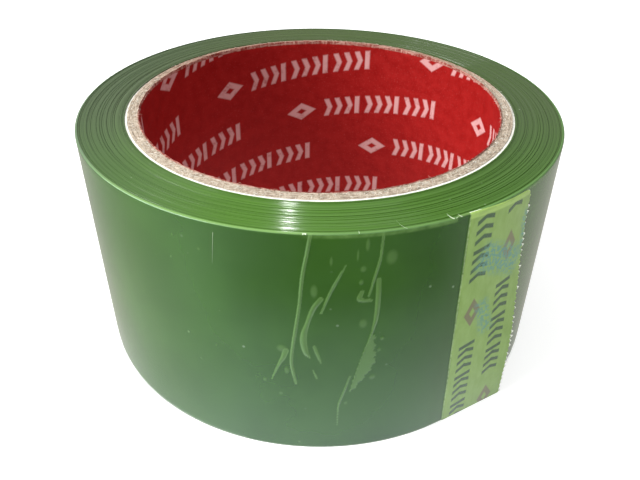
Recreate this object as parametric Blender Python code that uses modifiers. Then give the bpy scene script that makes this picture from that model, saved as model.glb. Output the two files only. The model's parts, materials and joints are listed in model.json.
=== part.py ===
"""A roll of wide adhesive packing tape on a paperboard core.

The roll lies flat, its axis along +Z and its lower edges on z = 0. The core is a wound paper
tube: a printed liner, board plies and a white outer ply. The tape is one long film. Here it is
the wound bulk, the outermost turn, and the last stretch that lifts with a paper pull tab under
it. Angles round the roll start at the front (-Y) and grow towards the right (+X).
"""

import math

import bmesh
import bpy
from mathutils import Matrix, Vector

MM = 0.001

# The core, cut to the tape's width. Its plies are listed from the bore outwards.
BORE_DIAMETER = 76.2 * MM
CORE_STANDS_UP = 0.08 * MM  # how far the core sits above the tape's lower edges
LINER_THICKNESS = 0.12 * MM
BOARD_PLY_THICKNESS = 0.52 * MM
BOARD_PLIES = 4
COVER_PLY_THICKNESS = 0.42 * MM
GLUE_LINE = 0.05 * MM

# The tape. Bands of turns stand a little up or down from each other, as they were wound.
ROLL_DIAMETER = 101.6 * MM
TAPE_WIDTH = 50.8 * MM
FILM_THICKNESS = 0.045 * MM
TACK_GAP = 0.02 * MM  # between turns that are only stuck together
BAND_SHIFTS = (0.00 * MM, 0.06 * MM, 0.02 * MM, 0.11 * MM, 0.05 * MM)  # from the core outwards
RIM_ROUNDING = 0.35 * MM

# The free end: a paper pull tab and the film over it. Lengths run round the roll.
TAB_START_ANGLE = 30.0  # degrees; the film is stuck down up to here, and lifts after it
TAB_START_GAP = 0.15 * MM
TAB_THICKNESS = 0.10 * MM
FREE_LENGTH_AT_TOP = 15.1 * MM
FREE_LENGTH_AT_BOTTOM = 15.7 * MM
CUT_BOW = 0.5 * MM  # how far the cut end bulges between its corners
CUT_TEETH = 40
CUT_TOOTH_DEPTH = 0.45 * MM
CUT_CORNER_RADIUS = 1.6 * MM
TAB_OVERHANG = 0.25 * MM  # how far the paper's teeth stand past the film's
FREE_END_INSET = 0.10 * MM  # the free end stays this far inside the tape's edges

# Every round piece has its facets at the same angles, so thin gaps between them stay open.
FACETS = 96
FACET_ANGLE = 360.0 / FACETS
MERGE_DISTANCE = 0.001 * MM
CUT_MARGIN = 2.0  # degrees of sheet left past the cut before it is trimmed

# Radii, worked out from the bore outwards and from the outside inwards.
BORE_RADIUS = BORE_DIAMETER / 2
BOARD_START_RADIUS = BORE_RADIUS + LINER_THICKNESS + GLUE_LINE
COVER_START_RADIUS = BOARD_START_RADIUS + BOARD_PLIES * (BOARD_PLY_THICKNESS + GLUE_LINE)
CORE_RADIUS = COVER_START_RADIUS + COVER_PLY_THICKNESS
WINDING_INNER_RADIUS = CORE_RADIUS + GLUE_LINE
FILM_END_RADIUS = ROLL_DIAMETER / 2 - FILM_THICKNESS  # its inner face
TAB_RADIUS = FILM_END_RADIUS - TACK_GAP - TAB_THICKNESS
OUTER_TURN_START_RADIUS = TAB_RADIUS - TACK_GAP - FILM_THICKNESS
OUTER_TURN_END_RADIUS = OUTER_TURN_START_RADIUS + FILM_THICKNESS + TACK_GAP
WINDING_RADIUS = OUTER_TURN_START_RADIUS - TACK_GAP

COLOURS = {
    "liner_red": ((0.38, 0.02, 0.02), 0.45),
    "board_grey": ((0.55, 0.42, 0.34), 0.95),
    "cover_white": ((0.90, 0.88, 0.82), 0.80),
    "tape_green": ((0.08, 0.24, 0.05), 0.20),
    "film_over_tab": ((0.30, 0.48, 0.15), 0.25),
    "tab_paper": ((0.85, 0.85, 0.80), 0.80),
}


def clear_scene():
    for obj in list(bpy.data.objects):
        bpy.data.objects.remove(obj)


def new_collection(name):
    collection = bpy.data.collections.new(name)
    bpy.context.scene.collection.children.link(collection)
    return collection


def make_material(name, colour, roughness):
    material = bpy.data.materials.new(name)
    material.use_nodes = True
    shader = material.node_tree.nodes["Principled BSDF"]
    shader.inputs["Base Color"].default_value = (*colour, 1.0)
    shader.inputs["Roughness"].default_value = roughness
    shader.inputs["Metallic"].default_value = 0.0
    return material


def place_mesh(name, bm, collection, material=None):
    """Puts a bmesh in the scene as one named object."""
    mesh = bpy.data.meshes.new(name)
    bm.to_mesh(mesh)
    bm.free()
    obj = bpy.data.objects.new(name, mesh)
    collection.objects.link(obj)
    if material is not None:
        mesh.materials.append(material)
    return obj


def round_point(radius, angle, height):
    """A point at an angle in degrees from the front of the roll."""
    turn = math.radians(angle)
    return Vector((radius * math.sin(turn), -radius * math.cos(turn), height))


def turned_ring(name, profile, collection, material):
    """Turns a closed profile of (radius, height) points about the roll's axis."""
    bm = bmesh.new()
    corners = [bm.verts.new((radius, 0.0, height)) for radius, height in profile]
    for corner, following in zip(corners, corners[1:] + corners[:1]):
        bm.edges.new((corner, following))
    ring = place_mesh(name, bm, collection, material)
    screw = ring.modifiers.new("turn", "SCREW")
    screw.axis = "Z"
    screw.angle = math.radians(360.0)
    screw.steps = FACETS
    screw.render_steps = FACETS
    screw.use_merge_vertices = True
    screw.merge_threshold = MERGE_DISTANCE
    screw.use_smooth_shade = False
    return ring


def tube_profile(inner_radius, thickness, low, high):
    """A plain wall, down its outer side first."""
    outer_radius = inner_radius + thickness
    return [(outer_radius, high), (outer_radius, low), (inner_radius, low), (inner_radius, high)]


def wound_sheet(name, angles, radius_at, low, high, thickness, collection, material):
    """An upright sheet bent round the roll, grown outwards from its inner face by Solidify."""
    bm = bmesh.new()
    lower = [bm.verts.new(round_point(radius_at(angle), angle, low)) for angle in angles]
    for first, second in zip(lower, lower[1:]):
        bm.edges.new((first, second))
    grown = bmesh.ops.extrude_edge_only(bm, edges=bm.edges[:])
    raised = [item for item in grown["geom"] if isinstance(item, bmesh.types.BMVert)]
    bmesh.ops.translate(bm, verts=raised, vec=(0.0, 0.0, high - low))
    bmesh.ops.recalc_face_normals(bm, faces=bm.faces[:])
    bm.faces.ensure_lookup_table()
    face = bm.faces[0]
    if face.normal.dot(face.calc_center_median() * Vector((1.0, 1.0, 0.0))) < 0.0:
        bmesh.ops.reverse_faces(bm, faces=bm.faces[:])
    sheet = place_mesh(name, bm, collection, material)
    solidify = sheet.modifiers.new("thickness", "SOLIDIFY")
    solidify.thickness = thickness
    solidify.offset = 1.0
    solidify.use_even_offset = True
    return sheet


def outline_cutter(name, outline, depth, placing, collection):
    """A straight prism with a flat outline, made as a filled 2D curve and then as a mesh."""
    curve = bpy.data.curves.new(name, "CURVE")
    curve.dimensions = "2D"
    curve.fill_mode = "BOTH"
    curve.extrude = depth / 2
    spline = curve.splines.new("POLY")
    spline.points.add(len(outline) - 1)
    for point, (across, up) in zip(spline.points, outline):
        point.co = (across, up, 0.0, 1.0)
    spline.use_cyclic_u = True
    drawn = bpy.data.objects.new(name + "_outline", curve)
    collection.objects.link(drawn)
    drawn.matrix_world = placing
    bpy.context.view_layer.update()
    graph = bpy.context.evaluated_depsgraph_get()
    mesh = bpy.data.meshes.new_from_object(drawn.evaluated_get(graph))
    bm = bmesh.new()
    bm.from_mesh(mesh)
    bmesh.ops.remove_doubles(bm, verts=bm.verts[:], dist=MERGE_DISTANCE)
    bmesh.ops.recalc_face_normals(bm, faces=bm.faces[:])
    bm.to_mesh(mesh)
    bm.free()
    cutter = bpy.data.objects.new(name, mesh)
    collection.objects.link(cutter)
    cutter.matrix_world = drawn.matrix_world
    bpy.data.objects.remove(drawn)
    cutter.hide_render = True
    cutter.display_type = "WIRE"
    return cutter


def keep_inside(sheet, cutter):
    boolean = sheet.modifiers.new("cut to outline", "BOOLEAN")
    boolean.operation = "INTERSECT"
    boolean.solver = "EXACT"
    boolean.object = cutter


def winding_profile():
    """The wound bulk: one band after another, then the rounded outer rim."""
    band_width = (WINDING_RADIUS - WINDING_INNER_RADIUS) / len(BAND_SHIFTS)
    lower = []
    for number, shift in enumerate(BAND_SHIFTS):
        start = WINDING_INNER_RADIUS + number * band_width
        lower.append((start, shift))
        lower.append((start + band_width, shift))
    rim_shift = BAND_SHIFTS[-1]
    rim_start = WINDING_RADIUS - RIM_ROUNDING
    lower[-1] = (rim_start, rim_shift)
    rim_steps = 3
    for step in range(1, rim_steps + 1):
        turn = math.radians(90.0 * step / rim_steps)
        radius = rim_start + RIM_ROUNDING * math.sin(turn)
        lower.append((radius, rim_shift + RIM_ROUNDING * (1.0 - math.cos(turn))))
    rounding = lower[-rim_steps:]
    flats = lower[:-rim_steps]
    middle = TAPE_WIDTH / 2 + rim_shift
    upper = [(radius, height + TAPE_WIDTH) for radius, height in flats]
    upper += [(radius, 2 * middle - height) for radius, height in rounding]
    return upper + lower[::-1]


def free_end_middle():
    """The angle half way along the free end, where its outline is drawn square on."""
    longest = math.degrees((FREE_LENGTH_AT_BOTTOM + TAB_OVERHANG) / FILM_END_RADIUS)
    return TAB_START_ANGLE + longest / 2


def free_end_outline(overhang):
    """The free end's flat outline: straight where it lifts, saw-toothed where it was cut."""
    low = FREE_END_INSET
    high = TAPE_WIDTH - FREE_END_INSET
    start = math.radians(TAB_START_ANGLE - free_end_middle())

    def across(length):
        return FILM_END_RADIUS * math.sin(start + length / FILM_END_RADIUS)

    outline = [(across(TAB_START_GAP), high), (across(TAB_START_GAP), low)]
    for step in range(2 * CUT_TEETH + 1):
        share = step / (2 * CUT_TEETH)
        length = FREE_LENGTH_AT_BOTTOM + (FREE_LENGTH_AT_TOP - FREE_LENGTH_AT_BOTTOM) * share
        length += overhang + CUT_BOW * (1.0 - (2.0 * share - 1.0) ** 2)
        height = low + (high - low) * share
        into_corner = max(0.0, height - (high - CUT_CORNER_RADIUS))
        length -= CUT_CORNER_RADIUS - math.sqrt(CUT_CORNER_RADIUS**2 - into_corner**2)
        length -= CUT_TOOTH_DEPTH * (step % 2)
        outline.append((across(length), height))
    return outline


def free_end_placing():
    """Puts an outline upright and square on to the roll, at the free end's middle."""
    outwards = round_point(1.0, free_end_middle(), 0.0)
    upwards = Vector((0.0, 0.0, 1.0))
    sideways = upwards.cross(outwards)
    turned = Matrix((sideways, upwards, outwards)).transposed().to_4x4()
    return Matrix.Translation(outwards * FILM_END_RADIUS) @ turned


def make_core(collection, materials):
    low = CORE_STANDS_UP
    high = CORE_STANDS_UP + TAPE_WIDTH
    profile = tube_profile(BORE_RADIUS, LINER_THICKNESS, low, high)
    turned_ring("core_liner", profile, collection, materials["liner_red"])
    for number in range(BOARD_PLIES):
        start = BOARD_START_RADIUS + number * (BOARD_PLY_THICKNESS + GLUE_LINE)
        profile = tube_profile(start, BOARD_PLY_THICKNESS, low, high)
        turned_ring(f"core_board_ply_{number + 1}", profile, collection, materials["board_grey"])
    profile = tube_profile(COVER_START_RADIUS, COVER_PLY_THICKNESS, low, high)
    turned_ring("core_cover_ply", profile, collection, materials["cover_white"])


def make_tape(collection, materials):
    green = materials["tape_green"]
    turned_ring("tape_winding", winding_profile(), collection, green)

    def turn_radius(angle):
        unwound = (TAB_START_ANGLE - angle) / 360.0
        return OUTER_TURN_END_RADIUS - unwound * (OUTER_TURN_END_RADIUS - OUTER_TURN_START_RADIUS)

    angles = [TAB_START_ANGLE - FACET_ANGLE * step for step in range(FACETS + 1)]
    low = BAND_SHIFTS[-1] + RIM_ROUNDING / 2
    high = BAND_SHIFTS[-1] + TAPE_WIDTH - RIM_ROUNDING / 2
    name = "tape_outer_turn"
    wound_sheet(name, angles, turn_radius, low, high, FILM_THICKNESS, collection, green)


def make_free_end(collection, cutters, materials):
    """The film's free end and the paper tab under it, both cut by the same toothed blade."""
    placing = free_end_placing()
    facets = math.ceil(2 * (free_end_middle() - TAB_START_ANGLE + CUT_MARGIN) / FACET_ANGLE)
    angles = [TAB_START_ANGLE + FACET_ANGLE * step for step in range(facets + 1)]
    sheets = (
        ("tape_free_end", FILM_END_RADIUS, FILM_THICKNESS, 0.0, "film_over_tab"),
        ("paper_pull_tab", TAB_RADIUS, TAB_THICKNESS, TAB_OVERHANG, "tab_paper"),
    )
    for name, radius, thickness, overhang, look in sheets:

        def even_radius(angle, constant=radius):
            return constant

        material = materials[look]
        sheet = wound_sheet(
            name, angles, even_radius, 0.0, TAPE_WIDTH, thickness, collection, material
        )
        depth = ROLL_DIAMETER / 4
        outline = free_end_outline(overhang)
        cutter = outline_cutter(name + "_cutter", outline, depth, placing, cutters)
        keep_inside(sheet, cutter)


def main():
    clear_scene()
    roll = new_collection("packing_tape_roll")
    cutters = new_collection("cutters")
    materials = {name: make_material(name, *look) for name, look in COLOURS.items()}
    make_core(roll, materials)
    make_tape(roll, materials)
    make_free_end(roll, cutters, materials)


main()
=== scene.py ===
# %% [markdown]
# # A roll of wide packing tape
#
# The object is a roll of glossy green film tape on a wound paperboard core, with a printed red
# liner in its bore and a paper pull tab under the tape's free end. The sizes come from a plain
# functional model, the frame. Each step below takes one real piece, says what it is and how it
# could be made, and builds it around the frame.

# %% Load the frame
import json
import math
import random

import bpy
import numpy as np
from mathutils import Matrix, Vector


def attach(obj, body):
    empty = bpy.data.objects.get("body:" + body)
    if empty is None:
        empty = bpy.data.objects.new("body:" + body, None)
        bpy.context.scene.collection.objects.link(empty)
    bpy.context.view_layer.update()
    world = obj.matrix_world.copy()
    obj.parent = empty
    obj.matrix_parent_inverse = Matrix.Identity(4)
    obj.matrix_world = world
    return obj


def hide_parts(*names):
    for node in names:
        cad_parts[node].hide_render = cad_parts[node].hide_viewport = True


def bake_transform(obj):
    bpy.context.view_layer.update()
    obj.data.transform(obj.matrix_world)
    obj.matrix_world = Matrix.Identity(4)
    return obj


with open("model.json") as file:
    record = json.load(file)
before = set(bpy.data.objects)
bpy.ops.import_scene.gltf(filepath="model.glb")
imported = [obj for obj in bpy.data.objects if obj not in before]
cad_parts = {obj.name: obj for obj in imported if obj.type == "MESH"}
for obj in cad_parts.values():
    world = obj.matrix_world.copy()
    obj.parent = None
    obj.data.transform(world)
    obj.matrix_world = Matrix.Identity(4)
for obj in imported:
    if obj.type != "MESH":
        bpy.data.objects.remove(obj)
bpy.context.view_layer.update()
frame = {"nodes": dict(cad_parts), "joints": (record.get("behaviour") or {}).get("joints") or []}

MM = 0.001

# %% [markdown]
# ## Sizes taken from the frame
#
# Everything on a roll is round, so a piece's size is its nearest and furthest distance from the
# axis and its lowest and highest edge. Reading them from the frame's nodes keeps every piece in
# its place: if the roll grows, so does all that is made here. Angles start at the front (-Y) and
# grow towards the right (+X), and heights are measured up from the surface that the roll lies on.

# %% Sizes taken from the frame
class Span:
    """How far a frame node reaches from the roll's axis, and how high and low."""

    def __init__(self, node):
        points = [v.co for v in frame["nodes"][node].data.vertices]
        distances = [math.hypot(p.x, p.y) for p in points]
        self.inner, self.outer = min(distances), max(distances)
        self.low, self.high = min(p.z for p in points), max(p.z for p in points)


liner_span = Span("core_liner")
cover_span = Span("core_cover_ply")
winding_span = Span("tape_winding")
turn_span = Span("tape_outer_turn")
tab_span = Span("paper_pull_tab")
free_span = Span("tape_free_end")

hinge = next(joint for joint in frame["joints"] if joint["name"] == "tab_lift")
hinge_place = Vector(hinge["pos_m"])
hinge_angle = math.degrees(math.atan2(hinge_place.x, -hinge_place.y))
print(f"bore {2 * liner_span.inner / MM:.1f} mm, roll {2 * free_span.outer / MM:.1f} mm")
print(f"tape {winding_span.high / MM:.2f} mm high, free end lifts at {hinge_angle:.1f} degrees")

# %% [markdown]
# ## The camera
#
# The camera stands close in front of the roll and looks down on it, so the far side of the bore
# shows its liner. A close camera widens what is near, which is why the top rim looks larger than
# the foot. The camera is aimed at a point on the axis, then turned a little about its own view.

# %% The camera
EYE = Vector((0.0, -133.5, 108.1)) * MM
LOOKS_AT = Vector((0.3, 0.0, 14.35)) * MM
CAMERA_TILT = 0.645  # degrees, clockwise as seen
LENS = 37.05  # millimetres, on a 36 mm sensor

camera_data = bpy.data.cameras.new("camera")
camera_data.lens = LENS
camera_data.sensor_width = 36.0
camera_data.clip_start = 0.005
camera_data.clip_end = 20.0
camera = bpy.data.objects.new("camera", camera_data)
bpy.context.scene.collection.objects.link(camera)
aim = (LOOKS_AT - EYE).to_track_quat("-Z", "Y").to_matrix().to_4x4()
camera.matrix_world = Matrix.Translation(EYE) @ aim @ Matrix.Rotation(
    math.radians(CAMERA_TILT), 4, "Z"
)
bpy.context.scene.camera = camera
print(f"camera {(LOOKS_AT - EYE).length / MM:.0f} mm from the roll's middle")

# %% [markdown]
# ## A studio for a glossy roll
#
# Three small helpers come first. One names a point by its angle round the roll, one makes a flat
# sheet that belongs to the studio and not to the roll, and one hangs a rectangular lamp.

# %% A studio for a glossy roll
def round_point(radius, angle, height):
    """A point at an angle in degrees from the front."""
    turn = math.radians(angle)
    return Vector((radius * math.sin(turn), -radius * math.cos(turn), height))


def stage_sheet(name, points, faces, material):
    """A flat sheet that belongs to the studio and not to the roll."""
    mesh = bpy.data.meshes.new(name)
    mesh.from_pydata([tuple(p) for p in points], [], faces)
    mesh.materials.append(material)
    sheet = bpy.data.objects.new(name, mesh)
    bpy.context.scene.collection.objects.link(sheet)
    return sheet


def area_lamp(name, place, target, size, power, spread=180.0):
    """A rectangular lamp aimed at a place; a small spread, in degrees, keeps its beam narrow."""
    data = bpy.data.lights.new(name, "AREA")
    data.shape = "RECTANGLE"
    data.size, data.size_y = size
    data.energy = power
    data.spread = math.radians(spread)
    lamp = bpy.data.objects.new(name, data)
    bpy.context.scene.collection.objects.link(lamp)
    lamp.location = place
    lamp.rotation_euler = (Vector(target) - Vector(place)).to_track_quat("-Z", "Y").to_euler()
    return lamp


print("studio helpers ready")

# %% [markdown]
# ## The floor
#
# The floor is plain and pale. It glows a little, like a light table, so the shadow round the foot
# stays faint.

# %% The floor
FLOOR_SIZE = 8.0
floor_material = bpy.data.materials.new("floor_white")
floor_material.use_nodes = True
floor_shader = floor_material.node_tree.nodes["Principled BSDF"]
floor_shader.inputs["Base Color"].default_value = (0.68, 0.68, 0.68, 1.0)
floor_shader.inputs["Roughness"].default_value = 0.9
floor_shader.inputs["Emission Color"].default_value = (1.0, 1.0, 1.0, 1.0)
floor_shader.inputs["Emission Strength"].default_value = 0.60
half = FLOOR_SIZE / 2
floor_corners = [(-half, -half, 0), (half, -half, 0), (half, half, 0), (-half, half, 0)]
stage_sheet("floor", floor_corners, [(0, 1, 2, 3)], floor_material)
print(f"floor {FLOOR_SIZE} m wide")

# %% [markdown]
# ## A card that only reflections see
#
# Gloss shows its surroundings, so their shape matters more than a lamp's power. A ring of card
# lies round the roll, just above the floor, where only reflections see it. The card glows with its
# grey, so it is painted light: it stands in for darker surroundings and for the shade in front of
# the roll. It is darkest in front, away from the wall: that keeps the upper wall deep green, while
# the pale part beside the wall veils the foot. Its shade is stored at its points, from a small
# table of angles.

# %% A card that only reflections see
CARD_START, CARD_FADED, CARD_END = 0.1 * MM, 48 * MM, 900 * MM  # from the wall
CARD_LEVEL = 0.12 * MM
CARD_ROWS, CARD_STEP = 16, 4  # rows that fade, and degrees between columns
# The card's grey beside the wall and where it has faded, at angles round the roll.
CARD_ANGLES = (-180, -90, -45, -20, 0, 40, 60, 180)
CARD_BESIDE = (0.45, 0.50, 0.66, 1.00, 0.98, 0.75, 0.38, 0.45)
CARD_FAR = (0.45, 0.45, 0.50, 0.22, 0.03, 0.12, 0.42, 0.42)
CARD_FRONT_TINT, CARD_SIDE_TINT = (0.96, 1.01, 1.07), (1.0, 1.02, 0.88)
CARD_TURNS_TO_SIDE = (20, 75)  # degrees from the front


def card_shade(reach, angle):
    """The card's colour at a distance from the wall, fading evenly from its inner edge."""
    beside = np.interp(angle, CARD_ANGLES, CARD_BESIDE)
    far = np.interp(angle, CARD_ANGLES, CARD_FAR)
    grey = beside + (far - beside) * min(reach / CARD_FADED, 1.0)
    to_side = np.interp(abs(angle), CARD_TURNS_TO_SIDE, (0, 1))
    tint = [front + (side - front) * to_side for front, side in zip(CARD_FRONT_TINT, CARD_SIDE_TINT)]
    return [grey * part for part in tint] + [1.0]


card_angles = list(range(-180, 180, CARD_STEP))
fading = [step / CARD_ROWS for step in range(CARD_ROWS + 1)]
card_reaches = [CARD_START + (CARD_FADED - CARD_START) * share for share in fading] + [CARD_END]
card_places = [(reach, angle) for reach in card_reaches for angle in card_angles]
card_points = [round_point(free_span.outer + reach, angle, CARD_LEVEL) for reach, angle in card_places]
columns = len(card_angles)
card_faces = []
for row in range(len(card_reaches) - 1):
    for column in range(columns):
        here = row * columns + column
        beside = row * columns + (column + 1) % columns
        card_faces.append((here, beside, beside + columns, here + columns))
card_material = bpy.data.materials.new("glowing_card")
card_material.use_nodes = True
card_nodes = card_material.node_tree
card_nodes.nodes.remove(card_nodes.nodes["Principled BSDF"])
# The card's grey is glowing painted light, seen only in the film's reflections.
card_glow = card_nodes.nodes.new("ShaderNodeEmission")
card_shades = card_nodes.nodes.new("ShaderNodeAttribute")
card_shades.attribute_name = "shade"
card_nodes.links.new(card_shades.outputs["Color"], card_glow.inputs["Color"])
card_surface = card_nodes.nodes["Material Output"].inputs["Surface"]
card_nodes.links.new(card_glow.outputs["Emission"], card_surface)
card = stage_sheet("card", card_points, card_faces, card_material)
shades = card.data.attributes.new("shade", "FLOAT_COLOR", "POINT")
shades.data.foreach_set("color", [part for place in card_places for part in card_shade(*place)])
for ray in ("camera", "diffuse", "shadow", "transmission", "volume_scatter"):
    setattr(card, "visible_" + ray, False)
print(f"card of {len(card_faces)} faces")

# %% [markdown]
# ## Lamps
#
# One wide softbox hangs overhead, and a second soft lamp on the left lights the side wall. One
# small lamp with a narrow beam stands far behind, a little to the left. It draws the bright
# streak across the wound edges in front, as a ring of fine ridges does under any small lamp.

# %% Lamps
area_lamp("softbox", (0.06, -0.10, 0.62), (0, 0, 0), (0.55, 0.55), 1.8)
area_lamp("streak_lamp", (-0.050, 0.72, 0.59), (-0.005, -0.045, 0.051), (0.012, 0.012), 0.0007, 5.0)
area_lamp("left_fill", (-0.55, -0.10, 0.42), (0, 0, 0.04), (0.6, 0.5), 9.0)

world = bpy.data.worlds.new("studio")
bpy.context.scene.world = world
world.use_nodes = True
world.node_tree.nodes["Background"].inputs["Color"].default_value = (1.0, 1.0, 1.0, 1.0)
world.node_tree.nodes["Background"].inputs["Strength"].default_value = 0.35
bpy.context.scene.view_settings.view_transform = "Standard"

# %% [markdown]
# ## Helpers for making nodes
#
# Materials here are node trees. A few short helpers keep them readable: one adds a node and wires
# its inputs by name, one does a step of arithmetic, one splits a vector and one makes noise.

# %% Helpers for making nodes
def feed(tree, socket, value):
    """Links a socket to an input, or sets the input's constant; a colour may come without alpha."""
    if isinstance(value, bpy.types.NodeSocket):
        tree.links.new(value, socket)
    elif socket.type == "RGBA":
        socket.default_value = (*value[:3], 1.0)
    else:
        socket.default_value = value


def add_node(tree, kind, inputs=None, **settings):
    """A shader node with its settings, and with its inputs fed by name."""
    node = tree.nodes.new("ShaderNode" + kind)
    for key, value in settings.items():
        setattr(node, key, value)
    for key, value in (inputs or {}).items():
        feed(tree, node.inputs[key], value)
    return node


def calc(tree, operation, *values, clamp=False):
    """One step of arithmetic; each value is a number or a socket."""
    node = add_node(tree, "Math", operation=operation, use_clamp=clamp)
    for socket, value in zip(node.inputs, values):
        feed(tree, socket, value)
    return node.outputs[0]


def times(tree, first, second):
    """The product of two values, each a number or a socket."""
    return calc(tree, "MULTIPLY", first, second)


def axes(tree, vector):
    """The vector's three parts, by letter."""
    return add_node(tree, "SeparateXYZ", {"Vector": vector}).outputs


def noise(tree, place, scale, detail=2.0, roughness=0.5):
    """Noise from 0 to 1 at a place; scale is in waves for each millimetre."""
    inputs = {"Vector": place, "Scale": scale, "Detail": detail, "Roughness": roughness}
    return add_node(tree, "TexNoise", inputs).outputs[0]


print("node helpers ready")

# %% [markdown]
# ## Helpers for masks and colours
#
# A finish is made of masks, which run from 0 to 1, and of colours laid over each other by them. A
# mask comes from a smooth step over some measure or noise, or from a mark stored on the piece.

# %% Helpers for masks and colours
def smooth_step(tree, value, start, end):
    """0 below start, 1 above end, smooth between; start may be the larger."""
    inputs = {"Value": value, "From Min": start, "From Max": end}
    return add_node(tree, "MapRange", inputs, interpolation_type="SMOOTHSTEP").outputs["Result"]


def blend_colours(tree, share, first, second):
    """first where share is 0 and second where it is 1."""
    node = add_node(tree, "Mix", data_type="RGBA")
    for socket, value in ((node.inputs[0], share), (node.inputs[6], first), (node.inputs[7], second)):
        feed(tree, socket, value)
    return node.outputs[2]


def overlay(tree, colour, *layers):
    """Lays colours over a colour in turn, each by its mask and its strength."""
    for mask, strength, laid in layers:
        colour = blend_colours(tree, times(tree, mask, strength), colour, laid)
    return colour


def stored_mark(tree, name):
    """A value from 0 to 1 that is kept at the piece's points."""
    return add_node(tree, "Attribute", attribute_name=name).outputs["Fac"]


print("mask and colour helpers ready")

# %% [markdown]
# ## Helpers for groups and materials
#
# An effect that several materials share is a node group with named inputs and outputs. A finish
# is a material whose plain values are given by name, so that its cell only wires what changes.

# %% Helpers for groups and materials
def new_group(name, inputs, outputs):
    """A node group with named sockets: its tree, its input node and its output node."""
    tree = bpy.data.node_groups.new(name, "ShaderNodeTree")
    for socket_name, kind, default in inputs:
        socket = tree.interface.new_socket(socket_name, in_out="INPUT", socket_type="NodeSocket" + kind)
        if default is not None:
            socket.default_value = default
    for socket_name, kind in outputs:
        tree.interface.new_socket(socket_name, in_out="OUTPUT", socket_type="NodeSocket" + kind)
    return tree, tree.nodes.new("NodeGroupInput"), tree.nodes.new("NodeGroupOutput")


def place_group(tree, group, inputs=None):
    """A shared effect, used in a tree."""
    return add_node(tree, "Group", inputs, node_tree=group)


def new_material(name, **constants):
    """A material whose shader's fixed values are set by socket name, _ for a space."""
    material = bpy.data.materials.new(name)
    material.use_nodes = True
    shader = material.node_tree.nodes["Principled BSDF"]
    for key, value in constants.items():
        shader.inputs[key.replace("_", " ")].default_value = value
    return material, material.node_tree, shader


def finish(tree, shader, colour, roughness=None, bump=None):
    """Wires a finish's colour, its roughness and a bump given as height, strength and depth."""
    tree.links.new(colour, shader.inputs["Base Color"])
    if roughness is not None:
        tree.links.new(roughness, shader.inputs["Roughness"])
    if bump is not None:
        height, strength, depth = bump
        node = add_node(tree, "Bump", {"Height": height, "Strength": strength, "Distance": depth})
        tree.links.new(node.outputs["Normal"], shader.inputs["Normal"])


print("group and material helpers ready")

# %% [markdown]
# ## Shared effect: places on the roll in millimetres
#
# Noise that follows a roll has to know where a place is and how far out from the axis. This
# group turns the piece's own coordinates into millimetres and measures the radius. The pieces lie
# where the frame has them, so object coordinates are metres from the roll's axis and foot.

# %% Shared effect: places on the roll
places_tree, _, places_out = new_group("PlacesOnRoll", [], [("Radius", "Float"), ("Point", "Vector")])
own = add_node(places_tree, "TexCoord").outputs["Object"]
scaled = add_node(places_tree, "VectorMath", {0: own, "Scale": 1.0 / MM}, operation="SCALE")
point_mm = scaled.outputs["Vector"]
x, y, _ = axes(places_tree, point_mm)
squares = calc(places_tree, "ADD", times(places_tree, x, x), times(places_tree, y, y))
places_tree.links.new(calc(places_tree, "SQRT", squares), places_out.inputs["Radius"])
places_tree.links.new(point_mm, places_out.inputs["Point"])
print("group", places_tree.name)

# %% [markdown]
# ## Shared effect: rows of print
#
# The liner and the paper tab carry rows of bold print at two sizes. Here each row repeats a
# diamond and a band of arrowheads and bars, which say nothing. The group works in flat
# millimetres: it finds which row a place is in, shifts each row along, and then measures the
# place inside one repeat. Masks made this way stay sharp at any distance.

# %% Shared effect: rows of print
SLANT = 0.18  # how far the print leans along the row for each millimetre up
BARS_IN_BAND = 12
STROKE_SHARE = 0.46  # of the pitch of the arrowheads
HOLE_SHARE = 0.34  # how large the diamond's hole is
ARROW_REACH = 0.42  # how far an arrowhead points, as a share of the print's height

print_tree, print_in, print_out = new_group(
    "RowsOfPrint",
    [
        ("Along", "Float", 0.0),
        ("Across", "Float", 0.0),
        ("Repeat", "Float", 57.6),
        ("Row Pitch", "Float", 12.3),
        ("Row Shift", "Float", 18.5),
        ("Height", "Float", 4.8),
        ("Mark Length", "Float", 8.0),
        ("Band Start", "Float", 10.4),
        ("Band Length", "Float", 34.4),
        ("Softness", "Float", 0.12),
    ],
    [("Mark", "Float"), ("Band", "Float")],
)
given = print_in.outputs


def print_calc(operation, *values, clamp=False):
    return calc(print_tree, operation, *values, clamp=clamp)


def inside(signed_distance):
    """1 where the signed distance is negative, with a soft edge."""
    ends = {"From Min": given["Softness"], "From Max": print_calc("MULTIPLY", given["Softness"], -1.0)}
    return add_node(print_tree, "MapRange", {"Value": signed_distance, **ends}).outputs["Result"]


row = print_calc("FLOOR", print_calc("DIVIDE", given["Across"], given["Row Pitch"]))
up = print_calc("SUBTRACT", given["Across"], print_calc("MULTIPLY", row, given["Row Pitch"]))
up = print_calc("SUBTRACT", up, print_calc("MULTIPLY", given["Row Pitch"], 0.5))
along = print_calc("ADD", given["Along"], print_calc("MULTIPLY", row, given["Row Shift"]))
along = print_calc("SUBTRACT", along, print_calc("MULTIPLY", up, SLANT))
along = print_calc("FLOORED_MODULO", along, given["Repeat"])
half_height = print_calc("MULTIPLY", given["Height"], 0.5)
from_middle = print_calc("ABSOLUTE", up)
print("group", print_tree.name)

# %% [markdown]
# ## The print's two figures
#
# The diamond is a sum of two distances. The arrowheads are bars that are pushed along by their
# height, and every fourth bar stays straight. Both are only arithmetic, so they never blur.

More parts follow.
